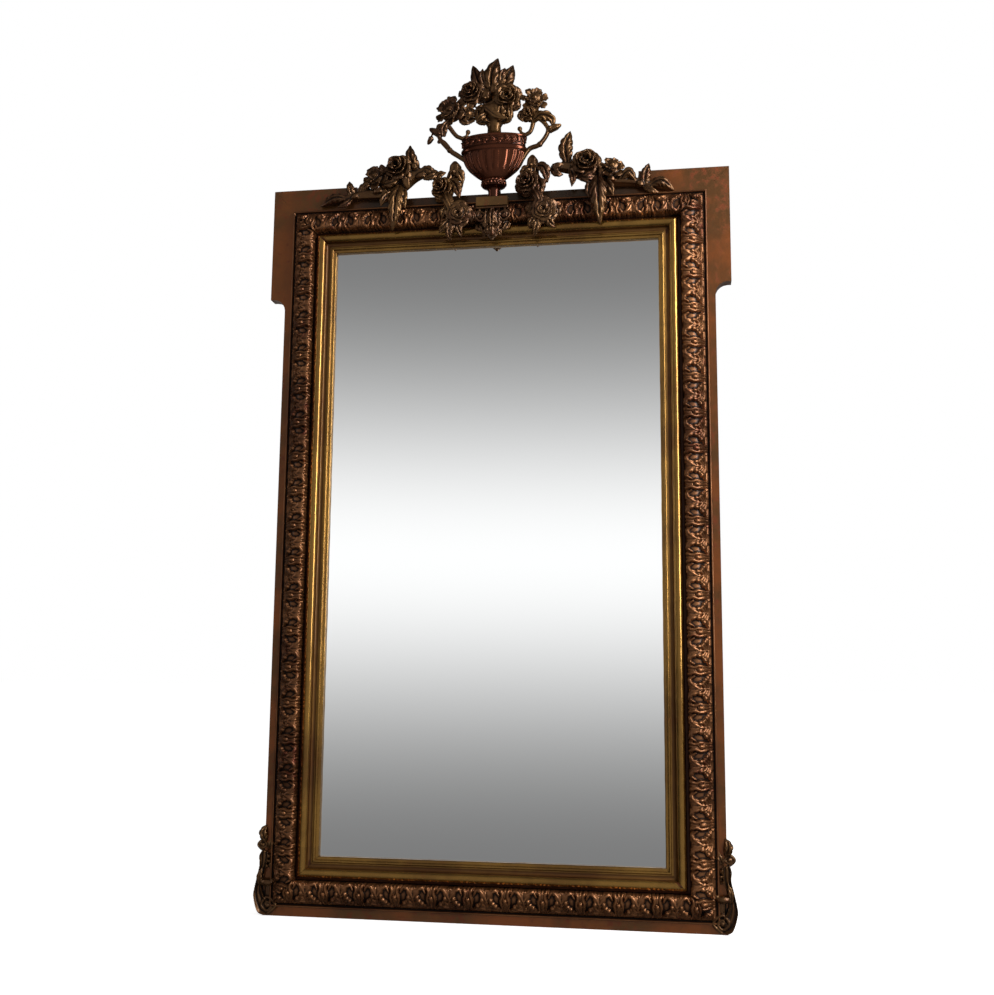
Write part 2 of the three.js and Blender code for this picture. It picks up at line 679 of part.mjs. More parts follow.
// The crest's sprays are laid out as places on the crest, chosen by hand.
const largeRose = () => rose([30, CUP_RIM + 12, 32], 29);
const smallRose = () => rose([-49, CUP_RIM + 30, 28], 27);

const bouquetLeaves = () => joined([
  ball([-8, CUP_RIM + 26, 10], 20, 32),
  ball([-16, CUP_RIM + 20, 30], 11),
  leaf([[-24, CUP_RIM + 36, 8], [-40, CUP_RIM + 72, 12], [-51, CUP_RIM + 104, 8]], 11),
  leaf([[-10, CUP_RIM + 36, 8], [-5, CUP_RIM + 80, 14], [6, CUP_RIM + 117, 8]], 15),
  leaf([[12, CUP_RIM + 34, 8], [28, CUP_RIM + 68, 12], [40, CUP_RIM + 98, 8]], 12),
]);

// Each handle of the urn is a flowering branch: an arm from the rim, an arm from the bowl, and buds.
const leftBranch = () => joined([
  stem([[-66, URN_RIM + 2, 17], [-75, URN_RIM + 6, 17], [-86, URN_RIM + 13, 18], [-104, 157, 22]], 5),
  stem([[-72, URN_RIM + 4, 17], [-62, URN_RIM + 8, 17], [-58, URN_RIM + 18, 17]], 4),
  ball([-58, URN_RIM + 18, 17], 5.5),
  stem([[-60, 70, 17], [-78, 83, 17], [-98, 98, 18], [-121, 127, 20], [-114, 144, 21], [-104, 157, 22]], 5),
  stem([[-116, 122, 20], [-130, 140, 20], [-138, 147, 20]], 4),
  ball([-138, 147, 20], 8),
  stem([[-120, 128, 20], [-135, 135, 20], [-142, 126, 20]], 3),
  ball([-143, 122, 20], 5.5, 9),
  rose([-96, 187, 22], 33, 6),
  rose([-56, 176, 24], 17),
]);

const rightBranch = () => joined([
  stem([[64, URN_RIM + 2, 17], [72, URN_RIM + 5, 17], [81, URN_RIM + 13, 18], [88, 157, 22]], 5),
  stem([[70, URN_RIM + 3, 17], [60, URN_RIM + 8, 17], [56, URN_RIM + 18, 17]], 4),
  ball([56, URN_RIM + 18, 17], 5.5),
  stem([[52, 50, 17], [75, 88, 17], [100, 99, 18], [118, 128, 20], [104, 152, 22], [88, 158, 22]], 5),
  leaf([[86, 152, 22], [104, 160, 22], [122, 136, 20]], 9),
  stem([[116, 128, 20], [126, 133, 20], [138, 138, 20]], 4),
  ball([139, 138, 20], 8),
  rose([86, 198, 22], 27, 6),
  rose([76, 166, 22], 18),
]);

// A swag hangs from beside the urn down over the moulding: bud, two roses and a fan of leaves.
const leftSwag = () => joined([
  ball([-86, 56, 16], 12, 14),
  leaf([[-90, 50, 18], [-73, 38, 22], [-68, 16, 24]], 10),
  stem([[-86, 56, 12], [-94, 30, 10], [-104, 4, 14], [-96, -26, 40], [-82, -56, 42]], 12, 9),
  stem([[-82, -50, 40], [-88, -88, 34], [-92, -118, 28]], 9, 3),
  rose([-110, 5, 28], 25),
  leaf([[-96, 24, 26], [-80, 8, 34], [-72, -22, 42]], 11),
  rose([-73, -58, 44], 26),
  leaf([[-86, -72, 40], [-100, -82, 42], [-114, -98, 34]], 8),
  leaf([[-84, -74, 40], [-94, -100, 36], [-92, -126, 26]], 8),
  leaf([[-80, -74, 40], [-74, -92, 38], [-68, -108, 30]], 7),
]);

const rightSwag = () => joined([
  ball([84, 60, 16], 11, 13),
  leaf([[86, 50, 16], [112, 40, 20], [118, 8, 22]], 12),
  stem([[84, 58, 12], [84, 30, 10], [80, 4, 14], [98, -26, 40], [108, -58, 42]], 12, 9),
  stem([[108, -50, 40], [100, -90, 34], [88, -118, 28]], 9, 3),
  rose([75, 8, 28], 26),
  leaf([[92, 12, 28], [100, -8, 36], [96, -34, 42]], 11),
  rose([111, -59, 44], 27),
  leaf([[112, -74, 40], [122, -86, 40], [134, -98, 34]], 8),
  leaf([[100, -74, 40], [92, -100, 36], [86, -128, 26]], 8),
  leaf([[98, -72, 40], [84, -84, 38], [80, -98, 32]], 7),
]);

// A garland trails outwards from each swag along the rail and over the head of the ear.
const leftGarland = () => joined([
  stem([[-122, 44, 14], [-150, 52, 12], [-176, 46, 8], [-205, 28, 6], [-240, 13, 4]], 7, 17),
  stem([[-230, 12, 4], [-265, 11, 4], [-300, 10, 5], [-345, 2, 6], [-GARLAND_END, -10, 6]], 17, 3),
  leaf([[-172, 50, 10], [-184, 82, 16], [-188, 117, 12]], 11),
  rose([-210, 58, 20], 31),
  ball([-190, 26, 20], 10, 20),
  rose([-262, 46, 16], 26, 6),
  leaf([[-252, 26, 14], [-232, 30, 24], [-204, 30, 26]], 8),
  leaf([[-316, 4, 8], [-322, 24, 12], [-325, 43, 8]], 8),
  leaf([[-206, 26, 16], [-212, -8, 38], [-213, -48, 41], [-219, -88, 30]], 14),
  leaf([[61 - GARLAND_END, 4, 6], [29 - GARLAND_END, 2, 12], [-GARLAND_END, -12, 6]], 10),
]);

const rightGarland = () => joined([
  stem([[122, 42, 14], [144, 46, 12], [170, 42, 8], [205, 26, 6], [240, 13, 4]], 7, 17),
  stem([[230, 12, 4], [262, 11, 4], [296, 7, 5], [340, -3, 6], [GARLAND_END - 7, -17, 6]], 17, 3),
  leaf([[158, 46, 12], [158, 88, 18], [166, 127, 12]], 14),
  leaf([[164, 44, 12], [171, 22, 20], [169, -3, 22]], 8),
  rose([200, 46, 20], 32),
  rose([254, 33, 16], 26),
  leaf([[270, 6, 10], [290, 20, 18], [306, 0, 12]], 9),
  leaf([[322, -6, 8], [326, 20, 12], [333, 45, 8]], 10),
  leaf([[224, 20, 16], [227, -12, 38], [228, -50, 41], [230, -98, 30]], 16),
  leaf([[GARLAND_END - 61, -6, 6], [GARLAND_END - 33, -2, 12], [GARLAND_END - 5, -18, 6]], 10),
]);

// ---- Corner scrolls ------------------------------------------------------------------------------

// The bed of a scroll is the lower right corner of the frame.
const cornerBed = () => joined([
  mouldingBed('right'),
  mouldingBed('bottom'),
  box([-SIDE_EDGE, SIDE_EDGE + SEAT], [-CARCASS_THICKNESS - SEAT, 1], [-TOP_EDGE - SEAT, TOP_EDGE]),
]);

const VOLUTE_SECTION = [ // shares of the volute's radius and of the scroll's depth
  [0, 0],
  [1, 0],
  [1, 1],
  [0.72, 1.03],
  [0.68, 0.95],
  [0.42, 0.98],
  [0.38, 1.06],
  [0, 1.08],
];

// The right-hand scroll: an S-shaped ribbon from a large volute at the foot to a curl and a leaf.
function cornerScroll() {
  const at = ([x, z]) => [SIDE_EDGE + x, z - TOP_EDGE];
  const outside = new THREE.SplineCurve([
    new THREE.Vector2(-6, VOLUTE_LIFT),
    new THREE.Vector2(SCROLL_OVERHANG - 10, VOLUTE_LIFT + 8),
    new THREE.Vector2(SCROLL_OVERHANG, 40),
    new THREE.Vector2(SCROLL_OVERHANG - 5, SCROLL_HEIGHT - 57),
    new THREE.Vector2(SCROLL_OVERHANG - 12.5, SCROLL_HEIGHT - 22),
    new THREE.Vector2(SCROLL_OVERHANG - 9, SCROLL_HEIGHT - 8),
    new THREE.Vector2(2, SCROLL_HEIGHT),
  ]);
  const inside = new THREE.SplineCurve([
    new THREE.Vector2(-8, SCROLL_HEIGHT),
    new THREE.Vector2(-10, SCROLL_HEIGHT - 16),
    new THREE.Vector2(-3, ROLL_HEIGHT + 22),
    new THREE.Vector2(6, ROLL_HEIGHT - 8),
    new THREE.Vector2(-6, VOLUTE_LIFT + VOLUTE_RADIUS),
  ]);
  const outline = [...outside.getPoints(14), ...inside.getPoints(8)].map((point) => at(point.toArray()));
  const section = VOLUTE_SECTION.map(([r, h]) => new THREE.Vector2(r * VOLUTE_RADIUS, h * SCROLL_DEPTH));
  const volute = new THREE.LatheGeometry(section, 24);
  const [voluteX, voluteZ] = at([-VOLUTE_INSET, VOLUTE_RADIUS + VOLUTE_LIFT]);
  volute.rotateX(Math.PI);
  volute.translate(voluteX, 0, voluteZ);
  const curl = new THREE.CylinderGeometry(CURL_RADIUS, CURL_RADIUS, CURL_DEPTH, 14);
  const [curlX, curlZ] = at([SCROLL_OVERHANG - CURL_RADIUS - 4, SCROLL_HEIGHT + CURL_RADIUS - 2]);
  curl.translate(curlX, -CURL_DEPTH / 2 - 4, curlZ);
  const roll = new THREE.IcosahedronGeometry(1, 1);
  const [rollX, rollZ] = at([7 - ROLL_HALF_LENGTH, ROLL_HEIGHT]);
  roll.scale(ROLL_HALF_LENGTH, ROLL_RADIUS, ROLL_RADIUS);
  roll.translate(rollX, ROLL_RADIUS / 2 - SCROLL_DEPTH, rollZ);
  const sprigFoot = SCROLL_HEIGHT + 2 * CURL_RADIUS - 6;
  const sprig = [[0, sprigFoot], [1, sprigFoot + SPRIG_LENGTH / 2], [-4, sprigFoot + SPRIG_LENGTH]]
    .map(at)
    .map(([x, z]) => new THREE.Vector3(x, 4 - CARCASS_THICKNESS, z));
  const taper = (t) => 8 * (1 - 0.85 * t);
  const turnings = [volute, curl, roll].map(solidOf);
  const scroll = joined([slab(outline, 0, SCROLL_DEPTH), ...turnings, limb(sprig, taper, taper)]);
  return fitted(scroll, [cornerBed()]);
}

// ---- Assembly ------------------------------------------------------------------------------------

const mirror = new THREE.Group();
mirror.position.z = -RAIL_MIDDLE;

function addPiece(name, solid, material) {
  const mesh = new THREE.Mesh(geometryOf(solid), material);
  mesh.name = name;
  mirror.add(mesh);
  return mesh;
}

rightAndLeft(stile).forEach(([side, solid]) => addPiece(`${side}_stile`, solid, BOARD_GILT));
addPiece('bottom_rail', rail().mirror([0, 0, 1]), BOARD_GILT);

const STRAP_SCREWS = [
  [0, 0, TOP_EDGE - STRAP_LET_IN + STRAP_SCREW_MARGIN],
  [0, 0, TOP_EDGE - STRAP_SCREW_MARGIN],
  [0, STRAP_THICKNESS - CREST_BACK, TOP_EDGE + STRAP_REACH - STRAP_SCREW_MARGIN],
];
const strapScrewHoles = STRAP_SCREWS.map((place) => screw(SCREW_CLEARANCE).translate(place));
const hangers = hangerCuts();
const topRailCuts = [...hangers, ...hangers.map(mirrored), strap(), ...strapScrewHoles];
addPiece('top_rail', cut(rail(), topRailCuts), BOARD_GILT);

rightAndLeft(() => slab(EAR_UPRIGHT, 0, CARCASS_THICKNESS)).forEach(([side, solid]) =>
  addPiece(`${side}_ear_upright`, solid, BOARD_GILT),
);
rightAndLeft(() => slab(EAR_HEAD, 0, CARCASS_THICKNESS)).forEach(([side, solid]) =>
  addPiece(`${side}_ear_head`, solid, BOARD_GILT),
);

SIDES.forEach(({ side, turn, halfAcross, halfAlong }) => {
  const mouldings = [
    ['sight_moulding', sightSection(), BEAD_GILT],
    ['leaf_moulding', leafSection(), LEAF_GILT],
  ];
  mouldings.forEach(([name, section, material]) => {
    const stick = mitredStick(section, halfAcross, halfAlong, MITRE_GAP);
    addPiece(`${name}_${side}`, stick, material).rotation.y = THREE.MathUtils.degToRad(turn);
  });
});

addPiece('mirror_glass', glass(), MIRROR);
addPiece('back_cross_rail', crossRail, PINE);
rightAndLeft(backBoard).forEach(([side, solid]) => {
  addPiece(`${side}_upper_back_board`, solid, PINE);
  addPiece(`${side}_lower_back_board`, solid.mirror([0, 0, 1]), PINE);
});

const BLOCK_HEIGHT = HALF_SIGHT_HEIGHT * 0.6;
rightAndLeft(glazingBlock).forEach(([side, solid]) => {
  addPiece(`${side}_glazing_block_upper`, solid, PINE).position.z = BLOCK_HEIGHT;
  addPiece(`${side}_glazing_block_lower`, solid, PINE).position.z = -BLOCK_HEIGHT;
});

const plateCuts = [keyhole(0, -1, HANGER_THICKNESS + 1), ...hangerScrewHoles()];
rightAndLeft(() => cut(hangerPlate(), plateCuts)).forEach(([side, solid]) =>
  addPiece(`${side}_hanger_plate`, solid, IRON),
);
['lower', 'upper'].forEach((level, i) => {
  rightAndLeft(() => screw(0).translate(hangerScrewAt(HANGER_SCREWS[i]))).forEach(([side, solid]) =>
    addPiece(`${side}_hanger_screw_${level}`, solid, IRON),
  );
});

addPiece('crest_strap', cut(strap(), strapScrewHoles), IRON);
['lower', 'middle', 'upper'].forEach((level, i) => {
  addPiece(`strap_screw_${level}`, screw(0), IRON).position.set(...STRAP_SCREWS[i]);
});

// The carved pieces, each cut to sit against those listed before it.
const urnSpace = [CREST_BED, urnFoot(URN_CLEARANCE), urnBowl(URN_CLEARANCE), urnNeck(URN_CLEARANCE)];
const roseSpace = [largeRose(), smallRose()].map((solid) => swollen(solid, SEAT));
const branches = [leftBranch(), rightBranch()].map((branch) => fitted(branch, [...urnSpace, ...roseSpace]));
const swags = [leftSwag(), rightSwag()].map((swag) => fitted(swag, urnSpace));
const branchSpace = branches.map((branch) => swollen(branch, SEAT));
const swagSpace = swags.map((swag) => swollen(swag, SEAT));
addPiece('plinth_block', plinth(), CARVED_GILT);
addPiece('pendant_bracket', pendant(), CARVED_GILT);
addPiece('urn_foot', fitted(urnFoot(), [CREST_BED]), URN_GILT);
addPiece('urn_bowl', fitted(urnBowl(), [CREST_BED, ...strapScrewHoles]), URN_GILT);
addPiece('urn_neck', fitted(urnNeck(), [CREST_BED]), CARVED_GILT);
addPiece('large_rose', fitted(largeRose(), urnSpace), CARVED_GILT);
addPiece('small_rose', fitted(smallRose(), urnSpace), CARVED_GILT);
const bouquetSpace = [...urnSpace, ...roseSpace, ...branchSpace];
addPiece('bouquet_leaves', fitted(bouquetLeaves(), bouquetSpace), CARVED_GILT);
addPiece('left_branch', branches[0], CARVED_GILT);
addPiece('right_branch', branches[1], CARVED_GILT);
addPiece('left_swag', swags[0], CARVED_GILT);
addPiece('right_swag', swags[1], CARVED_GILT);
addPiece('left_garland', fitted(leftGarland(), [CREST_BED, ...swagSpace]), CARVED_GILT);
addPiece('right_garland', fitted(rightGarland(), [CREST_BED, ...swagSpace]), CARVED_GILT);
rightAndLeft(cornerScroll).forEach(([side, solid]) => addPiece(`${side}_corner_scroll`, solid, CARVED_GILT));

const part = new THREE.Group();
part.add(mirror);
export default part;
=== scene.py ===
"""The looks of a gilded trumeau mirror: mitred mouldings, a band of acanthus leaves, and a carved crest.

Lengths are in metres. x runs to the right, y into the wall, and z up. MM turns millimetres into metres.
"""

import math

import bmesh
import bpy
import numpy as np
from mathutils import Matrix, Vector


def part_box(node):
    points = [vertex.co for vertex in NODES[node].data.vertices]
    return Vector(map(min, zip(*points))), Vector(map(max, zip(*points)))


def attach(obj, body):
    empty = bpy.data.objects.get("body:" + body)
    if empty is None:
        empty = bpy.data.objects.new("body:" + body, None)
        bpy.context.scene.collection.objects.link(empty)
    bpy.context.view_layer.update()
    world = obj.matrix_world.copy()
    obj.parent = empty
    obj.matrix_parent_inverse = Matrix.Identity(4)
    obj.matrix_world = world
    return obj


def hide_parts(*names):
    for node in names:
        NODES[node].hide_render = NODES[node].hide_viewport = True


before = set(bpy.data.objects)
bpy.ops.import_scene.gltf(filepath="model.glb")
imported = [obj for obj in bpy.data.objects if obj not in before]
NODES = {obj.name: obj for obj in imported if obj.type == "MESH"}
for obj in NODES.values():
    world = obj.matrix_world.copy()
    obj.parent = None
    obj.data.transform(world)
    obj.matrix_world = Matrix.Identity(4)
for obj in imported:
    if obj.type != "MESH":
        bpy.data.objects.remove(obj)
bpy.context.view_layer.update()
MM = 0.001
TURN = 2 * math.pi

# ---- Places taken from the frame -------------------------------------------------------------------

GLASS_COVER = 8 * MM  # glass hidden behind the lip
GLASS_LOW, GLASS_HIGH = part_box("mirror_glass")
GLASS_CENTRE = (GLASS_LOW + GLASS_HIGH) / 2
HALF_SIGHT_WIDTH = GLASS_HIGH.x - GLASS_CENTRE.x - GLASS_COVER
HALF_SIGHT_HEIGHT = GLASS_HIGH.z - GLASS_CENTRE.z - GLASS_COVER
CARCASS_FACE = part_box("right_stile")[0].y
SIDE_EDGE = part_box("right_stile")[1].x
RAIL_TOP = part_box("top_rail")[1].z
FRAME_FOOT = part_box("bottom_rail")[0].z
FRAME_HEIGHT = (RAIL_TOP - FRAME_FOOT) / MM

# ---- Mouldings: widths outwards from the sight edge, heights proud of the carcass, in millimetres ---

LIP_WIDTH, LIP_HEIGHT = 6, 8
SIGHT_FILLET_WIDTH, SIGHT_FILLET_HEIGHT = 6, 12
COVE_WIDTH, COVE_DEPTH = 10, 3
BEAD_WIDTH, BEAD_HEIGHT = 19, 22
GROOVE_WIDTH, GROOVE_HEIGHT = 6, 6
LEAF_WIDTH, LEAF_INNER_HEIGHT = 48, 26
LEAF_CREST_WIDTH, LEAF_CREST_HEIGHT = 10, 34
LEAF_OUTER_HEIGHT = 12
OUTER_GROOVE_WIDTH, OUTER_GROOVE_HEIGHT = 3, 3
OUTER_FILLET_WIDTH, OUTER_FILLET_HEIGHT = 4, 8
EDGE_ROUND = 0.9
LIP_ROUND = 2.2
MITRE_GAP = 0.2

# Where each part of a moulding ends, outwards from the sight edge.
FILLET_OUTER = LIP_WIDTH + SIGHT_FILLET_WIDTH
COVE_OUTER = FILLET_OUTER + COVE_WIDTH
BEAD_OUTER = COVE_OUTER + BEAD_WIDTH
SIGHT_OUTER = BEAD_OUTER + GROOVE_WIDTH
LEAF_OUTER = SIGHT_OUTER + LEAF_WIDTH
OUTER_GROOVE_OUTER = LEAF_OUTER + OUTER_GROOVE_WIDTH
OUTER_EDGE = OUTER_GROOVE_OUTER + OUTER_FILLET_WIDTH

# ---- Curves and meshes -----------------------------------------------------------------------------

WELD = 0.01 * MM
FINE_RELIEF, FINE_ROUNDS = 0.12 * MM, 4
BROAD_RELIEF, BROAD_ROUNDS = 1.1 * MM, 44


def smoothstep(low, high, value):
    share = np.clip((value - low) / (high - low), 0, 1)
    return share * share * (3 - 2 * share)


def unit(vector):
    vector = np.asarray(vector, float)
    return vector / np.maximum(np.linalg.norm(vector, axis=-1, keepdims=True), 1e-9)


def bezier(start, pull, end, share):
    return (1 - share) ** 2 * start + 2 * share * (1 - share) * pull + share ** 2 * end


def smooth_line(points, steps):
    """A Catmull-Rom line through points of any dimension."""
    points = np.array(points, float)
    padded = np.vstack([2 * points[0] - points[1], points, 2 * points[-1] - points[-2]])
    line = []
    for i in range(len(points) - 1):
        a, b, c, d = padded[i:i + 4]
        for share in np.arange(steps) / steps:
            square, cube = share ** 2, share ** 3
            line.append(0.5 * (2 * b + (c - a) * share + (2 * a - 5 * b + 4 * c - d) * square
                               + (3 * b - a - 3 * c + d) * cube))
    line.append(points[-1])
    return np.array(line)


def distances(line):
    """How far along the line each of its points is."""
    return np.concatenate([[0], np.cumsum(np.linalg.norm(np.diff(line, axis=0), axis=1))])


def resampled(line, share):
    travelled = distances(line)
    return np.stack([np.interp(share * travelled[-1], travelled, column) for column in line.T], 1)


def arc(centre, radius, start, end, steps):
    angles = np.linspace(start, end, steps + 1)
    return [(centre[0] + radius * math.cos(a), centre[1] + radius * math.sin(a)) for a in angles]


def softened(outline, radius):
    """A closed outline with its sharp corners rounded."""
    points = [np.array(p, float) for p in outline]
    result = []
    for i, here in enumerate(points):
        before = points[i - 1] - here
        after = points[(i + 1) % len(points)] - here
        before_length, after_length = np.linalg.norm(before), np.linalg.norm(after)
        straightness = -np.dot(before, after) / (before_length * after_length)
        if straightness > 0.85:
            result.append(here)
            continue
        reach = min(radius, before_length / 2.2, after_length / 2.2)
        start, end = here + before / before_length * reach, here + after / after_length * reach
        result += [bezier(start, here, end, share) for share in np.linspace(0, 1, 5)]
    return np.array(result)


class Carving:
    """The points and faces of one piece, gathered from closed rings."""

    def __init__(self):
        self.points = []
        self.faces = []
        self.count = 0

    def loft(self, rings):
        """A closed skin over rings of points, each ring going round and with an end face at each end."""
        rings = np.asarray(rings, float)
        rows, around = rings.shape[:2]
        row, place = np.meshgrid(np.arange(rows - 1), np.arange(around), indexing="ij")
        beside = (place + 1) % around
        corners = [row * around + place, row * around + beside,
                   (row + 1) * around + beside, (row + 1) * around + place]
        quads = np.stack(corners, -1).reshape(-1, 4)
        last = (rows - 1) * around
        ends = [list(range(around))[::-1], list(range(last, last + around))]
        self.points.append(rings.reshape(-1, 3))
        self.faces.extend((np.asarray(face) + self.count).tolist() for face in [*quads, *ends])
        self.count += rows * around

    def build(self, name):
        mesh = bpy.data.meshes.new(name)
        mesh.from_pydata(np.concatenate(self.points), [], self.faces)
        joined = bmesh.new()
        joined.from_mesh(mesh)
        bmesh.ops.remove_doubles(joined, verts=joined.verts, dist=WELD)
        bmesh.ops.recalc_face_normals(joined, faces=joined.faces)
        joined.to_mesh(mesh)
        joined.free()
        mesh.shade_smooth()
        piece = bpy.data.objects.new(name, mesh)
        bpy.context.scene.collection.objects.link(piece)
        return piece


def vertex_values(mesh, name):
    values = np.empty(len(mesh.vertices) * 3)
    mesh.vertices.foreach_get(name, values)
    return values.reshape(-1, 3)


def measured_relief(piece):
    """How raised each point is: 0 in a hollow, 0.5 where flat, and 1 on a ridge."""
    mesh = piece.data
    count = len(mesh.vertices)
    places = vertex_values(mesh, "co")
    normals = vertex_values(mesh, "normal")
    edges = np.empty(len(mesh.edges) * 2, int)
    mesh.edges.foreach_get("vertices", edges)
    start, end = edges.reshape(-1, 2).T
    neighbours = np.maximum(np.bincount(start, minlength=count) + np.bincount(end, minlength=count), 1)

    def flattened(points, rounds):
        for _ in range(rounds):
            columns = [np.bincount(start, column[end], count) + np.bincount(end, column[start], count)
                       for column in points.T]
            points = (points + np.stack(columns, 1) / neighbours[:, None]) / 2
        return points

    once = flattened(places, FINE_ROUNDS)
    often = flattened(once, BROAD_ROUNDS)
    fine = ((places - once) * normals).sum(1) / FINE_RELIEF
    broad = ((places - often) * normals).sum(1) / BROAD_RELIEF
    return 0.5 + 0.2 * np.tanh(fine) + 0.3 * np.tanh(broad)


def write_relief(piece, relief):
    """Keeps the relief with the piece, where its material reads it."""
    attribute = piece.data.attributes.new("relief", "FLOAT", "POINT")
    attribute.data.foreach_set("value", np.asarray(relief, np.float32))


# ---- Materials -------------------------------------------------------------------------------------

# Noises, by scale, detail and roughness.
CLOUD = (7.0, 5.0, 0.6)
MOTTLE = (60.0, 6.0, 0.65)
SPECK = (420.0, 4.0, 0.6)
GRAIN = (60.0, 6.0, 0.7)
GOLD_LEAF = 83 * MM  # side of a square of gold leaf
COAT_ROUGHNESS = 0.14
BARE_WOOD = (128, 94, 60), (90, 63, 40)
CREST_SHADE_COLOUR = (40, 30, 18)
# Painted shade of the crest on the top rail: from none to all of it, by the distance from the middle and from
# the top.
CREST_SHADE_SIDEWAYS = (400 * MM, 250 * MM)
CREST_SHADE_DOWN = (70 * MM, 35 * MM)


def colour(red, green, blue):
    """A colour given as it shows on a screen, from 0 to 255."""
    def linear(value):
        share = value / 255
        return share / 12.92 if share <= 0.04045 else ((share + 0.055) / 1.055) ** 2.4

    return (linear(red), linear(green), linear(blue), 1.0)


class Nodes:
    """A tree of shader nodes."""

    def __init__(self, tree):
        self.tree = tree

    def feed(self, socket, value):
        if isinstance(value, bpy.types.NodeSocket):
            self.tree.links.new(value, socket)
        else:
            socket.default_value = value

    def node(self, kind, *values, **inputs):
        """A node, with inputs by their order or by their names, in which underscores stand for spaces."""
        made = self.tree.nodes.new("ShaderNode" + kind)
        for socket, value in zip(made.inputs, values):
            self.feed(socket, value)
        for name, value in inputs.items():
            self.feed(made.inputs[name.replace("_", " ")], value)
        return made

    def operation(self, kind, name, first, second):
        made = self.node(kind)
        made.operation = name
        self.feed(made.inputs[0], first)
        self.feed(made.inputs[1], second)
        return made

    def math(self, name, first, second=0.0):
        return self.operation("Math", name, first, second).outputs[0]

    def times(self, first, second):
        return self.math("MULTIPLY", first, second)

    def plus(self, first, second):
        return self.math("ADD", first, second)

    def ramp(self, value, low, high, at_low=0.0, at_high=1.0, shape="LINEAR"):
        made = self.node("MapRange", Value=value, From_Min=low, From_Max=high, To_Min=at_low, To_Max=at_high)
        made.interpolation_type = shape
        return made.outputs["Result"]

    def ease(self, *limits):
        return self.ramp(*limits, shape="SMOOTHSTEP")

    def mix(self, share, first, second):
        return self.node("MixShader", share, first, second).outputs[0]


class Finish(Nodes):
    """A Principled material and the nodes that drive it."""

    def __init__(self, name, metallic=0.0, coat=0.0):
        self.material = bpy.data.materials.new(name)
        self.material.use_nodes = True
        super().__init__(self.material.node_tree)
        self.shader = self.tree.nodes["Principled BSDF"]
        self.set("Metallic", metallic)
        if coat:
            self.set("Coat Weight", coat)
            self.set("Coat Roughness", COAT_ROUGHNESS)
        self.place = self.node("TexCoord").outputs["Object"]

    def set(self, name, value):
        self.feed(self.shader.inputs[name], value)

    def noise(self, scale, detail, rough=0.55, place=None):
        made = self.node("TexNoise", Scale=scale, Detail=detail, Roughness=rough, Vector=place or self.place)
        return made.outputs["Fac"]

    def blend(self, share, first, second):
        made = self.node("Mix")
        made.data_type = "RGBA"
        self.feed(made.inputs[0], share)
        self.feed(made.inputs[6], first)
        self.feed(made.inputs[7], second)
        return made.outputs[2]

    def bump(self, height, distance, strength):
        made = self.node("Bump", Strength=strength, Distance=distance, Height=height)
        self.set("Normal", made.outputs["Normal"])

    def attribute(self, name):
        made = self.node("Attribute")
        made.attribute_name = name
        return made.outputs["Fac"]

    def squares(self):
        """A value for each square of gold leaf, laid edge to edge."""
        snapped = self.operation("VectorMath", "SNAP", self.place, (GOLD_LEAF, GOLD_LEAF, GOLD_LEAF))
        return self.node("TexWhiteNoise", Vector=snapped.outputs[0]).outputs["Value"]

    def crest_shade(self):
        """The share of painted shade that the crest casts on the top rail, behind and under it."""
        parts = self.node("SeparateXYZ", Vector=self.place)
        near = self.ease(self.math("ABSOLUTE", parts.outputs["X"]), *CREST_SHADE_SIDEWAYS)
        high = self.ease(parts.outputs["Z"], *[RAIL_TOP - drop for drop in CREST_SHADE_DOWN])
        patchy = self.ease(self.noise(22.0, 4.0), 0.2, 0.6)
        return self.times(self.times(near, high), self.plus(self.times(patchy, 0.25), 0.7))

    def towards_wall(self):
        """1 on the faces that look at the wall, and 0 on the others."""
        normal = self.node("TexCoord").outputs["Normal"]
        return self.ease(self.node("SeparateXYZ", Vector=normal).outputs["Y"], 0.4, 0.6)

    def wood(self, pale, dark):
        """The grain of upright boards, and their two colours blended by it."""
        along = self.node("Mapping", Vector=self.place, Scale=(1.0, 1.0, 0.05))
        grain = self.noise(*GRAIN, along.outputs["Vector"])
        return grain, self.blend(self.ease(grain, 0.35, 0.65), colour(*pale), colour(*dark))


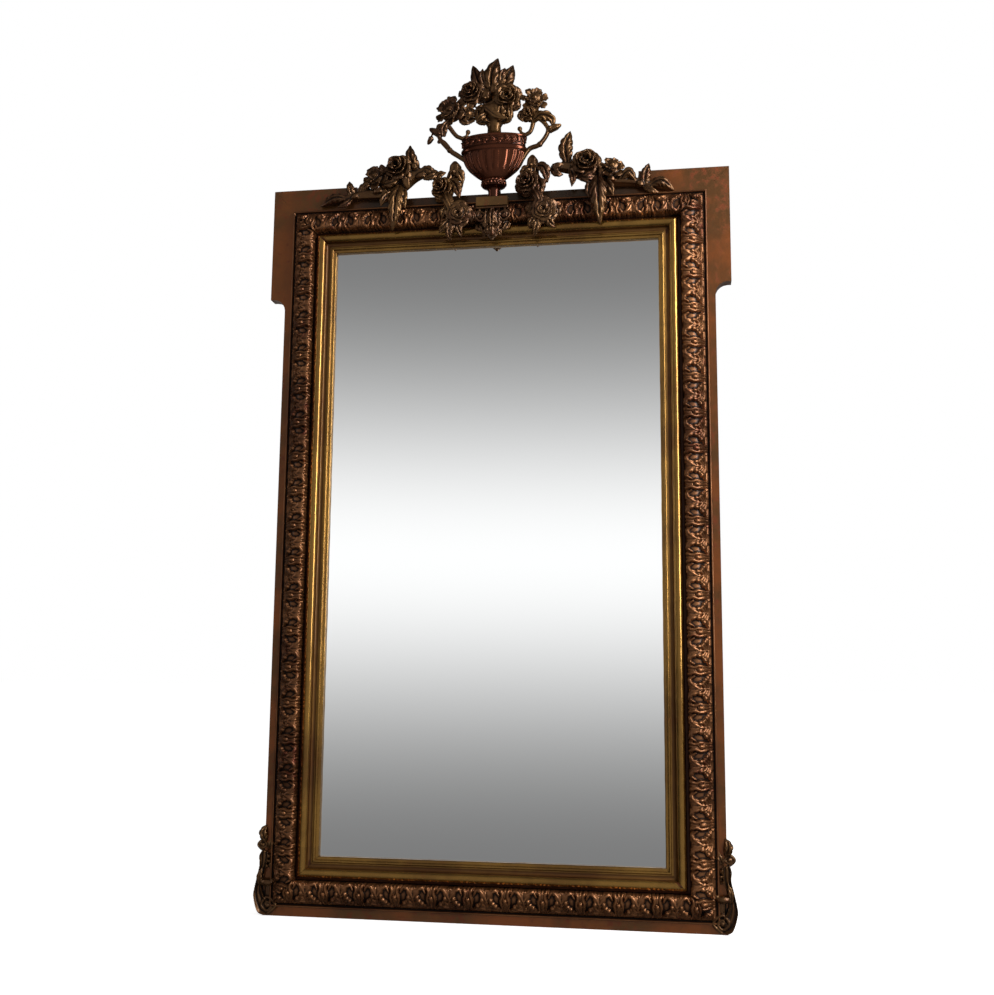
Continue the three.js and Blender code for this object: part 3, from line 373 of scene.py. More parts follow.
def gilding(name, colours, roughness, metallic, grain, carved=True, crest_shade_and_bare_back=False, coat=0.3):
    """Antique gilding: leaf laid in squares over red clay, rubbed on the ridges, and dark in the hollows with
    grime and painted shade.
    """
    gold, aged, clay, grime_and_shade = [colour(*each) for each in colours]
    finish = Finish(name, metallic, coat)
    cloud = finish.noise(*CLOUD)
    mottle = finish.noise(*MOTTLE)
    speck = finish.noise(*SPECK)
    tone = finish.blend(finish.ease(cloud, 0.38, 0.62), gold, aged)
    tone = finish.blend(finish.times(finish.squares(), 0.4), tone, aged)
    worn = finish.ease(finish.plus(mottle, finish.times(cloud, 0.5)), 0.78, 0.98)
    if carved:
        relief = finish.attribute("relief")
        ridge = finish.ease(relief, 0.62, 0.95)
        hollow = finish.ease(relief, 0.46, 0.12)
        worn = finish.times(worn, finish.plus(finish.times(ridge, 0.7), 0.3))
        tone = finish.blend(worn, tone, clay)
        # Painted shade: the hollows of the relief are darkened towards the dark colour, as grime and as the
        # shade that falls in them.
        tone = finish.blend(finish.times(hollow, 0.94), tone, grime_and_shade)
        dull = finish.times(hollow, 0.4)
    else:
        tone = finish.blend(worn, tone, clay)
        dull = finish.times(worn, 0.2)
    # Painted shade: the top rail is darkened behind and under the crest.
    if crest_shade_and_bare_back:
        tone = finish.blend(finish.crest_shade(), tone, colour(*CREST_SHADE_COLOUR))
    tone = finish.blend(finish.times(finish.ease(speck, 0.66, 0.74), 0.55), tone, grime_and_shade)
    shine = finish.plus(finish.times(mottle, 0.22), roughness - 0.11)
    if crest_shade_and_bare_back:
        bare = finish.towards_wall()
        tone = finish.blend(bare, tone, finish.wood(*BARE_WOOD)[1])
        finish.set("Metallic", finish.math("SUBTRACT", metallic, finish.times(bare, metallic)))
        shine = finish.plus(shine, finish.times(bare, 0.3))
    finish.set("Base Color", tone)
    finish.set("Roughness", finish.plus(shine, dull))
    finish.bump(finish.plus(finish.times(mottle, 0.7), finish.times(speck, 0.3)), 0.6 * MM, grain)
    return finish.material


def looking_glass():
    """Silvered glass, with paint on its back."""
    finish = Finish("looking_glass", metallic=1.0)
    finish.set("Base Color", finish.blend(finish.towards_wall(), colour(247, 248, 248), colour(70, 52, 44)))
    finish.set("Roughness", 0.0)
    return finish.material


def old_pine():
    finish = Finish("old_pine")
    grain, tone = finish.wood((158, 118, 76), (118, 82, 50))
    cloud = finish.noise(4.0, 3.0)
    finish.set("Base Color", finish.blend(finish.ease(cloud, 0.4, 0.75), tone, colour(92, 66, 44)))
    finish.set("Roughness", finish.plus(finish.times(grain, 0.2), 0.65))
    finish.bump(grain, 0.8 * MM, 0.6)
    return finish.material


def dark_iron():
    finish = Finish("dark_iron", metallic=0.85)
    rust = finish.ease(finish.noise(90.0, 6.0, 0.7), 0.5, 0.68)
    finish.set("Base Color", finish.blend(rust, colour(74, 70, 67), colour(104, 62, 40)))
    finish.set("Roughness", finish.plus(finish.times(rust, 0.35), 0.42))
    finish.bump(finish.noise(260.0, 4.0), 0.4 * MM, 0.5)
    return finish.material


# The four colours of each gilding: gold, aged gold, clay, and a dark colour for specks of grime and, on
# carved pieces, for grime and painted shade in the hollows.
BOARD = gilding(
    "board_gilding", [(136, 73, 29), (94, 60, 26), (114, 56, 25), (38, 20, 12)],
    roughness=0.38, metallic=0.7, carved=False, crest_shade_and_bare_back=True, grain=0.15)
PLINTH = gilding(
    "plinth_gilding", [(140, 104, 56), (104, 74, 40), (118, 66, 40), (34, 18, 10)],
    roughness=0.3, metallic=0.9, carved=False, grain=0.1)
BEAD = gilding(
    "bead_gilding", [(162, 122, 58), (124, 90, 42), (132, 74, 42), (66, 27, 12)],
    roughness=0.22, metallic=0.92, grain=0.05, coat=0.25)
LEAF = gilding(
    "leaf_gilding", [(138, 92, 57), (100, 63, 38), (98, 48, 32), (20, 8, 5)],
    roughness=0.33, metallic=0.84, grain=0.3, coat=0.15)
CARVED = gilding(
    "carved_gilding", [(112, 80, 46), (80, 53, 32), (84, 44, 28), (16, 7, 5)],
    roughness=0.33, metallic=0.86, grain=0.3, coat=0.2)
URN = gilding(
    "urn_gilding", [(100, 51, 28), (62, 31, 18), (76, 33, 20), (16, 6, 4)],
    roughness=0.2, metallic=0.92, grain=0.08, coat=0.2)
GLASS = looking_glass()
PINE = old_pine()
IRON = dark_iron()


def finished(piece, material, node):
    """Gives a piece its material and body, and hides the node that it stands for."""
    piece.data.materials.clear()
    piece.data.materials.append(material)
    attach(piece, "root")
    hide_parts(node)


# ---- Mouldings -------------------------------------------------------------------------------------

SIDES = {
    "right": (0, HALF_SIGHT_WIDTH, HALF_SIGHT_HEIGHT),
    "top": (1, HALF_SIGHT_HEIGHT, HALF_SIGHT_WIDTH),
    "left": (2, HALF_SIGHT_WIDTH, HALF_SIGHT_HEIGHT),
    "bottom": (3, HALF_SIGHT_HEIGHT, HALF_SIGHT_WIDTH),
}
RING_SPACING = 12 * MM


def placed(side, out, proud, along):
    """Points of a moulding on one side of the glass, from millimetres out from the sight edge, millimetres
    proud of the carcass, and metres along from the middle of the side."""
    quarter, half_across, _ = SIDES[side]
    angle = quarter * TURN / 4
    across = half_across + np.asarray(out) * MM
    x = across * math.cos(angle) - along * math.sin(angle)
    z = across * math.sin(angle) + along * math.cos(angle)
    y = np.broadcast_to(CARCASS_FACE - np.asarray(proud) * MM, x.shape)
    return np.stack([x + GLASS_CENTRE.x, y, z + GLASS_CENTRE.z], -1)


def section_places(piece, side):
    """How many millimetres each point of a moulding is out from the sight edge, and from its mitre."""
    quarter, half_across, half_along = SIDES[side]
    x, _, z = vertex_values(piece.data, "co").T
    x = np.abs(x - GLASS_CENTRE.x)
    z = np.abs(z - GLASS_CENTRE.z)
    across, along = (z, x) if quarter % 2 else (x, z)
    out = (across - half_across) / MM
    return out, half_along / MM + out - along / MM


def sight_section():
    bead_radius = BEAD_WIDTH / 2
    cove_half = COVE_WIDTH / 2
    cove_radius = (cove_half ** 2 + COVE_DEPTH ** 2) / (2 * COVE_DEPTH)
    cove_angle = math.asin(cove_half / cove_radius)
    cove_centre = (FILLET_OUTER + cove_half, SIGHT_FILLET_HEIGHT - COVE_DEPTH + cove_radius)
    down = -TURN / 4
    fillet_radius = SIGHT_FILLET_WIDTH / 2
    fillet_centre = (LIP_WIDTH + fillet_radius, SIGHT_FILLET_HEIGHT - fillet_radius)
    return softened([
        (0, 0),
        (SIGHT_OUTER, 0),
        (SIGHT_OUTER, GROOVE_HEIGHT),
        (BEAD_OUTER, GROOVE_HEIGHT),
        *arc((COVE_OUTER + bead_radius, BEAD_HEIGHT - bead_radius), bead_radius, 0, TURN / 2, 22),
        *arc(cove_centre, cove_radius, down + cove_angle, down - cove_angle * 0.35, 12),
        *arc(fillet_centre, fillet_radius, 0.2, TURN / 2 - 0.2, 10),
        (LIP_WIDTH, LIP_HEIGHT),
        *arc((LIP_ROUND, LIP_HEIGHT - LIP_ROUND), LIP_ROUND, TURN / 4, TURN / 2, 6),
    ], EDGE_ROUND)


def hand_wave(along, seed):
    """The slight waver, in millimetres, of an edge that was finished by hand."""
    return (0.14 * np.sin(along * 71 + seed) + 0.1 * np.sin(along * 163 + 2 * seed)
            + 0.06 * np.sin(along * 389))


def sight_relief(piece, side):
    """Painted shade: dark in the cove and in the groove, and left at full colour on the bead, the fillet and
    the lip. The mitre is darkest, as a dark joint.
    """
    out, from_mitre = section_places(piece, side)
    cove = (smoothstep(FILLET_OUTER - 0.8, FILLET_OUTER + 1.5, out)
            * (1 - smoothstep(COVE_OUTER + 0.5, COVE_OUTER + 4, out)))
    groove = smoothstep(BEAD_OUTER - 2.5, BEAD_OUTER - 0.2, out)
    relief = np.clip(0.62 - 0.38 * cove - 0.6 * groove, 0, 1)
    return np.where(from_mitre < MITRE_GAP + 0.15, 0, relief)


def sight_moulding(side):
    section = sight_section()
    half_along = SIDES[side][2]
    steps = int(half_along * 2 / RING_SPACING)
    share = np.array([-1, *np.linspace(-0.9994, 0.9994, steps + 1), 1])[:, None]
    out, proud = section[None, :, 0], section[None, :, 1]
    along = share * (half_along + (out - MITRE_GAP) * MM)
    raised = np.minimum(proud / 6, 1)
    waved_out = out + hand_wave(along, out / 9) * raised
    waved_proud = proud + hand_wave(along, 2 + out / 7) * raised
    carving = Carving()
    carving.loft(placed(side, waved_out, waved_proud, along))
    piece = carving.build(f"{side}_sight_moulding")
    write_relief(piece, sight_relief(piece, side))
    finished(piece, BEAD, f"sight_moulding_{side}")


# ---- The band of acanthus --------------------------------------------------------------------------

LEAF_PITCH = 74.0
LEAF_STEP = 1.2  # spacing of the points, in millimetres
GROUND_DEPTH = 9.0  # from the tops of the leaves to the ground between them
FILLET_RELIEF = 0.66
# Each strand is a rib of the carving: places (along, from the outer edge), half width, height and curl.
HALF_PITCH = LEAF_PITCH / 2
MIDDLE_STRANDS = [
    ([(0, 1), (0, 14), (0, 26)], 1.7, 0.8, 0.0),
    ([(HALF_PITCH, 2), (HALF_PITCH, 12), (HALF_PITCH, 25)], 2.7, 0.95, 0.8),
    ([(HALF_PITCH, 32), (HALF_PITCH, 39), (HALF_PITCH, 47)], 1.9, 0.84, 0.0),
]
LEAF_STRANDS = [
    ([(1.5, 2), (8, 3), (15, 7), (18, 13)], 2.5, 0.88, 1.0),
    ([(1.5, 7), (6, 9), (11, 13), (13, 18)], 2.1, 0.74, 0.6),
    ([(1.5, 12), (5, 15), (9, 20), (9, 26)], 2.3, 0.9, 0.8),
    ([(1.5, 20), (4, 24), (8, 30), (10, 36)], 2.1, 0.8, 0.6),
    ([(1.5, 27), (4, 32), (9, 38), (17, 47)], 2.7, 1.0, 0.9),
    ([(1, 31), (3, 37), (6, 42), (9, 47)], 2.0, 0.86, 0.4),
    ([(0.6, 34), (1.8, 40), (2.8, 46)], 1.5, 0.8, 0.0),
]
# The strands of the fan between two leaves run back from the middle of the fan.
FAN_STRANDS = [
    ([(5, 2), (6, 13), (8, 25), (5, 35), (8, 47)], 2.3, 1.0, 0.5),
    ([(10, 1), (14, 5), (19, 6)], 2.1, 0.76, 0.9),
    ([(2.5, 27), (3, 36), (4, 46)], 1.5, 0.8, 0.0),
    ([(12, 34), (15, 40), (17, 46)], 2.0, 0.8, 0.7),
]


def both_sides(strands, middle):
    """The strands on each side of a middle line, from places measured away from it."""
    return [([(middle + side * x, y) for x, y in points], width, rise, curl)
            for side in (-1, 1) for points, width, rise, curl in strands]


def carved_height(along, inward):
    """How high the carving stands at each place of one repeat, from 0 for the ground to 1 at the tops."""
    height = np.zeros(along.shape)
    strands = MIDDLE_STRANDS + both_sides(LEAF_STRANDS, 0) + both_sides(FAN_STRANDS, HALF_PITCH)
    for points, width, rise, curl in strands:
        line = smooth_line(points, 5)
        share = np.linspace(0, 1, len(line))
        swell = 0.55 + 0.75 * np.sin(math.pi * (0.12 + 0.62 * share))
        swell[-3:] *= 1 + 0.55 * curl
        climb = rise * (0.72 + 0.28 * share ** 2)
        for shift in (-LEAF_PITCH, 0, LEAF_PITCH):
            for (x, y), grow, top in zip(line, swell, climb):
                square = ((along - x - shift) ** 2 + (inward - y) ** 2) / (width * grow) ** 2
                ridge = top - 0.42 + 0.42 * np.sqrt(np.clip(1 - square, 0, 1))
                height = np.where(square < 1, np.maximum(height, ridge), height)
    return height


def leaf_envelope():
    """The smooth face that the leaves are cut into, from the outer edge inwards."""
    start, bend, crest, shoulder, edge = np.array([
        (LEAF_OUTER, LEAF_OUTER_HEIGHT),
        (LEAF_OUTER - LEAF_CREST_WIDTH, LEAF_CREST_HEIGHT),
        (SIGHT_OUTER + LEAF_CREST_WIDTH, LEAF_CREST_HEIGHT),
        (SIGHT_OUTER + 1.5, LEAF_CREST_HEIGHT - 0.5),
        (SIGHT_OUTER, LEAF_INNER_HEIGHT)], float)
    slope = bezier(start, bend, crest, np.linspace(0, 1, 43)[:, None])
    rolled = bezier(crest, shoulder, edge, np.linspace(0, 1, 11)[1:, None])
    return np.vstack([slope, rolled])


def leaf_tail():
    """The rest of the section of the leaf moulding: its back, its outer fillet and its groove."""
    radius = OUTER_FILLET_WIDTH / 2
    return softened([
        (SIGHT_OUTER, 0),
        (OUTER_EDGE, 0),
        *arc((OUTER_EDGE - radius, OUTER_FILLET_HEIGHT - radius), radius, 0, TURN / 2, 6),
        (OUTER_GROOVE_OUTER, OUTER_GROOVE_HEIGHT),
        (LEAF_OUTER, OUTER_GROOVE_HEIGHT),
    ], EDGE_ROUND)


def leaf_moulding(side):
    half_along = SIDES[side][2]
    face = leaf_envelope()
    tangent = np.gradient(face, axis=0)
    outwards = unit(np.stack([tangent[:, 1], -tangent[:, 0]], 1))
    travelled = distances(face)
    reach = math.ceil((half_along / MM + OUTER_EDGE) / LEAF_STEP)
    steps = np.arange(-reach, reach + 1) * LEAF_STEP
    phase, inward = np.meshgrid(steps % LEAF_PITCH, travelled / travelled[-1] * LEAF_WIDTH, indexing="ij")
    depth = GROUND_DEPTH * (1 - carved_height(phase, inward))
    depth *= np.clip(np.minimum(inward, LEAF_WIDTH - inward) / 1.5, 0.35, 1)
    carved = face[None] - outwards[None] * depth[..., None]
    tail = leaf_tail()
    section = np.concatenate([carved, np.broadcast_to(tail, (len(steps), *tail.shape))], 1)
    out, proud = section[..., 0], section[..., 1]
    limit = half_along / MM + out - MITRE_GAP
    along = np.clip(np.broadcast_to(steps[:, None], out.shape), -limit, limit)
    carving = Carving()
    carving.loft(placed(side, out, proud, along * MM))
    piece = carving.build(f"{side}_leaf_moulding")
    from_sight_edge = section_places(piece, side)[0]
    relief = np.where(from_sight_edge > OUTER_GROOVE_OUTER, FILLET_RELIEF, measured_relief(piece))
    write_relief(piece, relief)
    finished(piece, LEAF, f"leaf_moulding_{side}")


# ---- Carved work ----------------------------------------------------------------------------------
#
# Laid out in millimetres: x, height above the top rail, and distance proud of the carcass.

FRONT = 56.5  # nothing stands further proud than this
FRONT_EASE = 46.0  # what stands further proud than this is pressed back a little
BLOOM_SPREAD = 1.14
GOLDEN_ANGLE = TURN * 0.381966
# Rings of petals: count, half angle, reach, lowest point, rise, roll of the rim, and turn of the ring.
ROSE_RINGS = [
    (5, 0.74, 1.0, -0.22, 0.42, 0.34, 0.0),
    (5, 0.76, 0.82, -0.08, 0.66, 0.2, 0.6),
    (4, 0.9, 0.6, 0.06, 0.82, 0.1, 0.25),
    (3, 1.1, 0.38, 0.2, 0.86, 0.02, 0.9),
    (2, 1.4, 0.2, 0.34, 0.74, 0.0, 0.2),
]


def frames(line, lean=0.0):
    """Directions across a line and outwards to the room, turned round the line by a lean."""
    along = unit(np.gradient(line, axis=0))
    across = unit(np.cross(along, (0.0, 0.0, 1.0)) + np.array([1e-6, 0, 0]))
    outwards = np.cross(across, along)
    turned_across = across * math.cos(lean) + outwards * math.sin(lean)
    return turned_across, np.cross(turned_across, along)


class Sculpture(Carving):
    """Overlapping closed skins that are fused into one carved piece."""

    def shell(self, grid, thickness, back=None):
        """A grid of points, and the same grid set back by a thickness."""
        if back is None:
            back = unit(np.cross(np.gradient(grid, axis=1), np.gradient(grid, axis=0)))
        self.loft(np.concatenate([grid, (grid - back * thickness)[:, ::-1]], axis=1))

    def ball(self, centre, radii, ridges=0, depth=0.0):
        radii = np.broadcast_to(radii, 3)
        polar = np.linspace(0.02, math.pi - 0.02, 19)[:, None]
        around = np.linspace(0, TURN, 33)[None, :-1]
        ribbed = 1 + depth * np.cos(ridges * around) * np.sin(polar)
        x = radii[0] * np.sin(polar) * np.cos(around) * ribbed
        proud = radii[2] * np.sin(polar) * np.sin(around) * ribbed
        height = radii[1] * np.cos(polar) * np.ones_like(around)
        self.loft(np.stack([x, height, proud], -1) + centre)

    def rod(self, path, radii, ridges=0, depth=0.0, twist=0.0):
        """A stem with rounded ends. Its radius follows the values given, evenly spaced."""
        line = smooth_line(path, 8)
        length = distances(line)[-1]
        share = 0.5 - 0.5 * np.cos(np.linspace(0, math.pi, max(24, int(length / 1.6))))
        line = resampled(line, share)
        radii = np.atleast_1d(np.asarray(radii, float))
        radius = np.interp(share, np.linspace(0, 1, len(radii)), radii)
        from_end = np.minimum(share, 1 - share) * length
        rounding = 1 - np.clip(1 - from_end / np.maximum(radius, 0.5), 0, 1) ** 2
        radius = np.maximum(radius * np.sqrt(rounding), 0.12)
        across, outwards = frames(line)
        angle = np.linspace(0, TURN, 19)[None, :-1]
        ribbed = 1 + depth * np.cos(ridges * angle + twist * share[:, None] * TURN)
        ring = across[:, None] * np.cos(angle)[..., None] + outwards[:, None] * np.sin(angle)[..., None]
        self.loft(line[:, None] + ring * (radius[:, None] * ribbed)[..., None])

    def leaf(self, path, half_width, lobes=4, cup=0.25, thickness=3.6, lean=0.0, cut=0.16):
        """A leaf grooved down its middle, with ribs running out to a lobed edge."""
        line = resampled(smooth_line(path, 8), np.linspace(0, 1, 49))
        across, outwards = frames(line, lean)
        share = np.linspace(0, 1, 49)[:, None]
        side = np.linspace(-1, 1, 25)[None, :]
        reach = np.abs(side)
        width = half_width * np.sin(math.pi * (0.12 + 0.88 * share)) ** 0.9
        notch = (0.5 - 0.5 * np.cos(TURN * lobes * (share - 0.26))) ** 5
        edge = 1.08 - cut * notch
        rib = np.cos(TURN * lobes * (share - 0.26 * reach))
        height = (cup * (1 - side ** 2) + 0.2 * np.sin(math.pi * reach) ** 0.8
                  - 0.3 * np.exp(-(side / 0.13) ** 2) + 0.1 * rib * np.sin(math.pi * 0.5 * reach))
        grid = (line[:, None] + across[:, None] * (width * edge * side)[..., None]
                + outwards[:, None] * (width * height)[..., None])
        self.shell(grid, thickness, outwards[:, None])

    def petal(self, flower, angle, half_angle, reach, low, rise, roll, thick, notch=0.0, ruffle=0.0):
        """A cupped petal, and its rim rolled back."""
        share = np.linspace(0, 1, 15)[:, None]
        side = np.linspace(1, -1, 19)[None, :]
        limit = 1 - 0.24 * np.abs(side) ** 2.4 - notch * np.exp(-(side / 0.22) ** 2)
        away = 0.14 + 0.86 * share * limit
        rolled = smoothstep(0.62, 1.0, share)
        height = low + rise * away ** 1.5 - roll * rolled ** 2 + 0.07 * side * share
        height = height + ruffle * share ** 2 * np.cos(3 * math.pi * side)
        height = height - 0.05 * np.exp(-(side / 0.2) ** 2) * share
        turn = angle + half_angle * side * (0.72 + 0.28 * np.sin(math.pi * 0.75 * share))
        centre, radius, flatness, right, up, out = flower
        spread = right * np.cos(turn)[..., None] + up * np.sin(turn)[..., None]
        spread = spread * (reach * (away + 0.05 * rolled))[..., None]
        self.shell(centre + radius * (spread + out * (height * flatness)[..., None]), thick * radius)

    def bloom(self, centre, radius, facing=(0, 0, 1)):
        """The frame of a flower, kept as shallow as the front of the crest allows."""
        out = unit(facing)
        right = unit(np.cross((0.0, 1.0, 0.0), out))
        radius = radius * BLOOM_SPREAD
        flatness = min(0.85, (FRONT - centre[2]) / (0.98 * radius))
        heart = (radius * 0.66, radius * 0.66, radius * 0.4 * flatness + 2)
        self.ball(np.array(centre) - out * radius * 0.1, heart)
        return np.array(centre, float), radius, flatness, right, np.cross(out, right), out

    def rose(self, centre, radius, facing, turn):
        flower = self.bloom(centre, radius, facing)
        for count, half_angle, reach, low, rise, roll, offset in ROSE_RINGS:
            for k in range(count):
                angle = turn + offset + k * TURN / count
                self.petal(flower, angle, half_angle, reach, low, rise, roll, 0.09, notch=0.03)

    def open_flower(self, centre, radius, petals, facing, turn):
        flower = self.bloom(centre, radius, facing)
        half_angle = 0.86 * math.pi / petals
        for reach, low, rise, roll, offset in [(1.0, -0.14, 0.42, 0.12, 0.0), (0.66, 0.0, 0.62, 0.08, 0.5)]:
            for k in range(petals):
                angle = turn + (k + offset) * TURN / petals
                self.petal(flower, angle, half_angle, reach, low, rise, roll, 0.085, notch=0.1, ruffle=0.05)
        place, _, flatness, right, up, out = flower
        self.ball(place + out * radius * 0.3 * flatness, radius * 0.24)
        for k in range(14):
            away = 0.06 * radius * math.sqrt(k + 0.5)
            spread = right * math.cos(k * GOLDEN_ANGLE) + up * math.sin(k * GOLDEN_ANGLE)
            self.ball(place + spread * away + out * radius * (0.5 - 0.006 * k) * flatness, radius * 0.055)

    def bud(self, start, end, radius):
        """A closed bud in its sepals."""
        start, end = np.array(start, float), np.array(end, float)
        radii = [radius * 0.5, radius, radius * 0.9, radius * 0.35]
        self.rod([start, (start + end) / 2, end], radii, 5, 0.12, twist=0.35)
        self.rod([start, start + (end - start) * 0.5], [radius * 0.7, radius * 1.12, radius * 0.8], 7, 0.16)

    def spiral(self, centre, radii, start, clockwise, thick, proud_step):
        """A ribbon that winds in: one radius for each quarter turn."""
        step = -TURN / 4 if clockwise else TURN / 4
        points = [(centre[0] + r * math.cos(start + k * step), centre[1] + r * math.sin(start + k * step),
                   centre[2] + proud_step * k) for k, r in enumerate(radii)]
        self.rod(points, [thick, thick * 0.9, thick * 0.6])

    def slab(self, outline, back, front, ease=1.2):
        """A plate with eased edges, cut to an outline."""
        outline = np.array(outline, float)
        middle = outline.mean(0)
        from_middle = np.maximum(np.linalg.norm(outline - middle, axis=1), 4)
        inner = middle + (outline - middle) * (1 - ease / from_middle)[:, None]
        levels = [(inner, back), (outline, back + ease), (outline, front - ease), (inner, front)]
        self.loft([np.column_stack([shape, np.full(len(shape), proud)]) for shape, proud in levels])

    def turned(self, profile, base, flatness, relief=None):
        """A turned body on the urn's axis, flattened from front to back, with carving on its face."""
        profile = np.array(profile, float)
        share = np.linspace(0, 1, int(distances(profile)[-1] / 0.8))
        profile = resampled(profile, share)
        angle = np.linspace(0, TURN, 241)[None, :-1]
        radius, height = profile[:, :1], profile[:, 1:]
        if relief is not None:
            radius = radius + relief(angle, height)
        x = radius * np.cos(angle)
        proud = URN_PROUD + flatness * radius * np.sin(angle)
        self.loft(np.stack([x, base + height * np.ones_like(angle), proud], -1))

    def pressed(self):
        """The points, with what stands far forward eased back behind the front of the object."""
        x, height, proud = np.concatenate(self.points).T
        room = FRONT - FRONT_EASE
        over = np.maximum(proud - FRONT_EASE, 0) / room
        return x, height, np.minimum(proud, FRONT_EASE) + room * np.tanh(over)

    def fused(self, name, node, material=CARVED, slot="carved_gilt", mirrored=False, voxel=0.95, easing=2):
        """The skins joined into one, as a piece that stands for a CAD node."""
        x, height, proud = self.pressed()
        side = -1 if mirrored else 1
        self.points = [np.column_stack([side * x * MM, CARCASS_FACE - proud * MM, RAIL_TOP + height * MM])]
        piece = self.build(name)
        remesh = piece.modifiers.new("fused", "REMESH")
        remesh.mode = "VOXEL"
        remesh.voxel_size = voxel * MM
        eased = piece.modifiers.new("eased", "SMOOTH")
        eased.factor = 0.5
        eased.iterations = easing
        whole = bpy.data.meshes.new_from_object(piece.evaluated_get(bpy.context.evaluated_depsgraph_get()))
        piece.modifiers.clear()
        piece.data = whole
        whole.name = name
        whole.shade_smooth()
        write_relief(piece, measured_relief(piece))
        finished(piece, material, node)


# ---- The urn and the bracket under it --------------------------------------------------------------

URN_PROUD = 17
PLINTH_TOP, PLINTH_HEIGHT = -24, 19.5
STEM_FLATNESS = 0.8
FOOT_BEADS = 22
BOWL_FOOT, BOWL_HEIGHT, BOWL_RADIUS, BOWL_FLATNESS = 21.5, 98, 72, 0.42
URN_RIM = BOWL_FOOT + BOWL_HEIGHT
TORUS_FOOT, FRIEZE_FOOT = 62, 73
FRIEZE_PITCH, FRIEZE_MIDDLE = 17.0, 83
CURL_TURN = 1.6 * math.pi
TONGUES = 22
CUP_RIM = 193.5
VOLUTE_OUT, VOLUTE_DROP = 25, 20
DROP_HEIGHT, DROP_PROUD = -101.8, 35


def urn_foot():
    work = Sculpture()
    outline = smooth_line([
        (11.5, 8), (12, 16), (12.5, 22), (16, 27), (24, 30.5), (26, 33), (26.6, 37), (26.6, 42),
        (24.5, 45.2), (4, 45.2)], 6)
    profile = [(0.5, 0.4), (16.8, 0.4), (16.8, 4), (15, 5.5), (12.4, 7), *outline]
    work.turned(profile, PLINTH_TOP, STEM_FLATNESS)
    for k in range(FOOT_BEADS):
        for radius, turn, height, size in [(25.4, 0, 36.6, (3.1, 3.4, 3.1)), (26, 0.14, 42.5, 1.9)]:
            angle = k * TURN / FOOT_BEADS + turn
            proud = URN_PROUD + STEM_FLATNESS * radius * math.sin(angle)
            work.ball((radius * math.cos(angle), PLINTH_TOP + height, proud), size)
    work.fused("beaded_urn_foot", "urn_foot", URN, "urn_gilt", voxel=0.8)


def tongues(angle, height):
    """Gadroons that narrow to the foot of the bowl, with a dart between each two at the top."""
    wave = np.abs(np.cos(angle * TONGUES / 2))
    fade = smoothstep(11, 25, height) * (1 - smoothstep(TORUS_FOOT - 5, TORUS_FOOT - 0.5, height))
    swell = 7.0 * (wave - 0.64)
    dart = 4.0 * np.exp(-(np.cos(angle * TONGUES / 2) / 0.24) ** 2) * smoothstep(20, 44, height)
    return (swell + dart) * fade * (0.35 + 0.65 * height / TORUS_FOOT)


def on_bowl(sweep, height, proud):
    """A place on the frieze of the bowl, from the sweep in millimetres round from the middle of its front."""
    angle = TURN / 4 - sweep / BOWL_RADIUS
    radius = BOWL_RADIUS - 2 + proud
    return (radius * math.cos(angle), BOWL_FOOT + height,
            URN_PROUD + BOWL_FLATNESS * radius * math.sin(angle))


def frieze_scroll(work, middle, side):
    """One wave of the running scroll on the bowl: its stem, its curl and a leaf."""
    stem = [(middle + FRIEZE_PITCH * t - FRIEZE_PITCH / 2, FRIEZE_MIDDLE + side * 5.2 * math.cos(math.pi * t))
            for t in np.linspace(0, 1, 9)]
    work.rod([on_bowl(*place, 0.6) for place in stem], 1.15)
    curl = []
    for turn in np.linspace(0, CURL_TURN, 13):
        size = 4.6 - 2.9 * turn / CURL_TURN
        height = FRIEZE_MIDDLE - side + side * size * math.sin(turn)
        curl.append(on_bowl(middle + size * math.cos(turn), height, 0.7))
    work.rod(curl, 1.05)
    leaf = [(middle - 7, FRIEZE_MIDDLE - side * 5.4, 0.4), (middle - 2, FRIEZE_MIDDLE - side * 6.4, 1.6),
            (middle + 3, FRIEZE_MIDDLE - side * 3, 0.6)]
    work.leaf([on_bowl(*place) for place in leaf], 2.2, 2, thickness=1.6)


def urn_bowl():
    work = Sculpture()
    swelling = bezier(np.array((25, 1)), np.array((66, 25)), np.array((67.5, TORUS_FOOT)),
                      np.linspace(0, 1, 30)[:, None])
    torus = [(68 + 4.6 * math.sin(a), 67.5 - 5.2 * math.cos(a)) for a in np.linspace(0.3, 2.8, 14)]
    work.turned([
        (1, 0.6), (20, 0.6), *swelling, *torus, (69, FRIEZE_FOOT + 0.5), (68.6, 80), (68.6, 89), (69, 92.5),
        (71.4, 93), (72, 94.5), (72, 96.4), (71, 97.6), (60, 97.9), (2, 97.9)],
        BOWL_FOOT, BOWL_FLATNESS, tongues)
    for k in range(-6, 7):
        frieze_scroll(work, k * FRIEZE_PITCH, 1 if k % 2 else -1)
    work.fused("carved_urn_bowl", "urn_bowl", URN, "urn_gilt", voxel=0.85, easing=1)


def cup_ribs(angle, height):
    return 0.9 * np.cos(angle * 14) * smoothstep(33, 44, height) * (1 - smoothstep(60, 72, height))


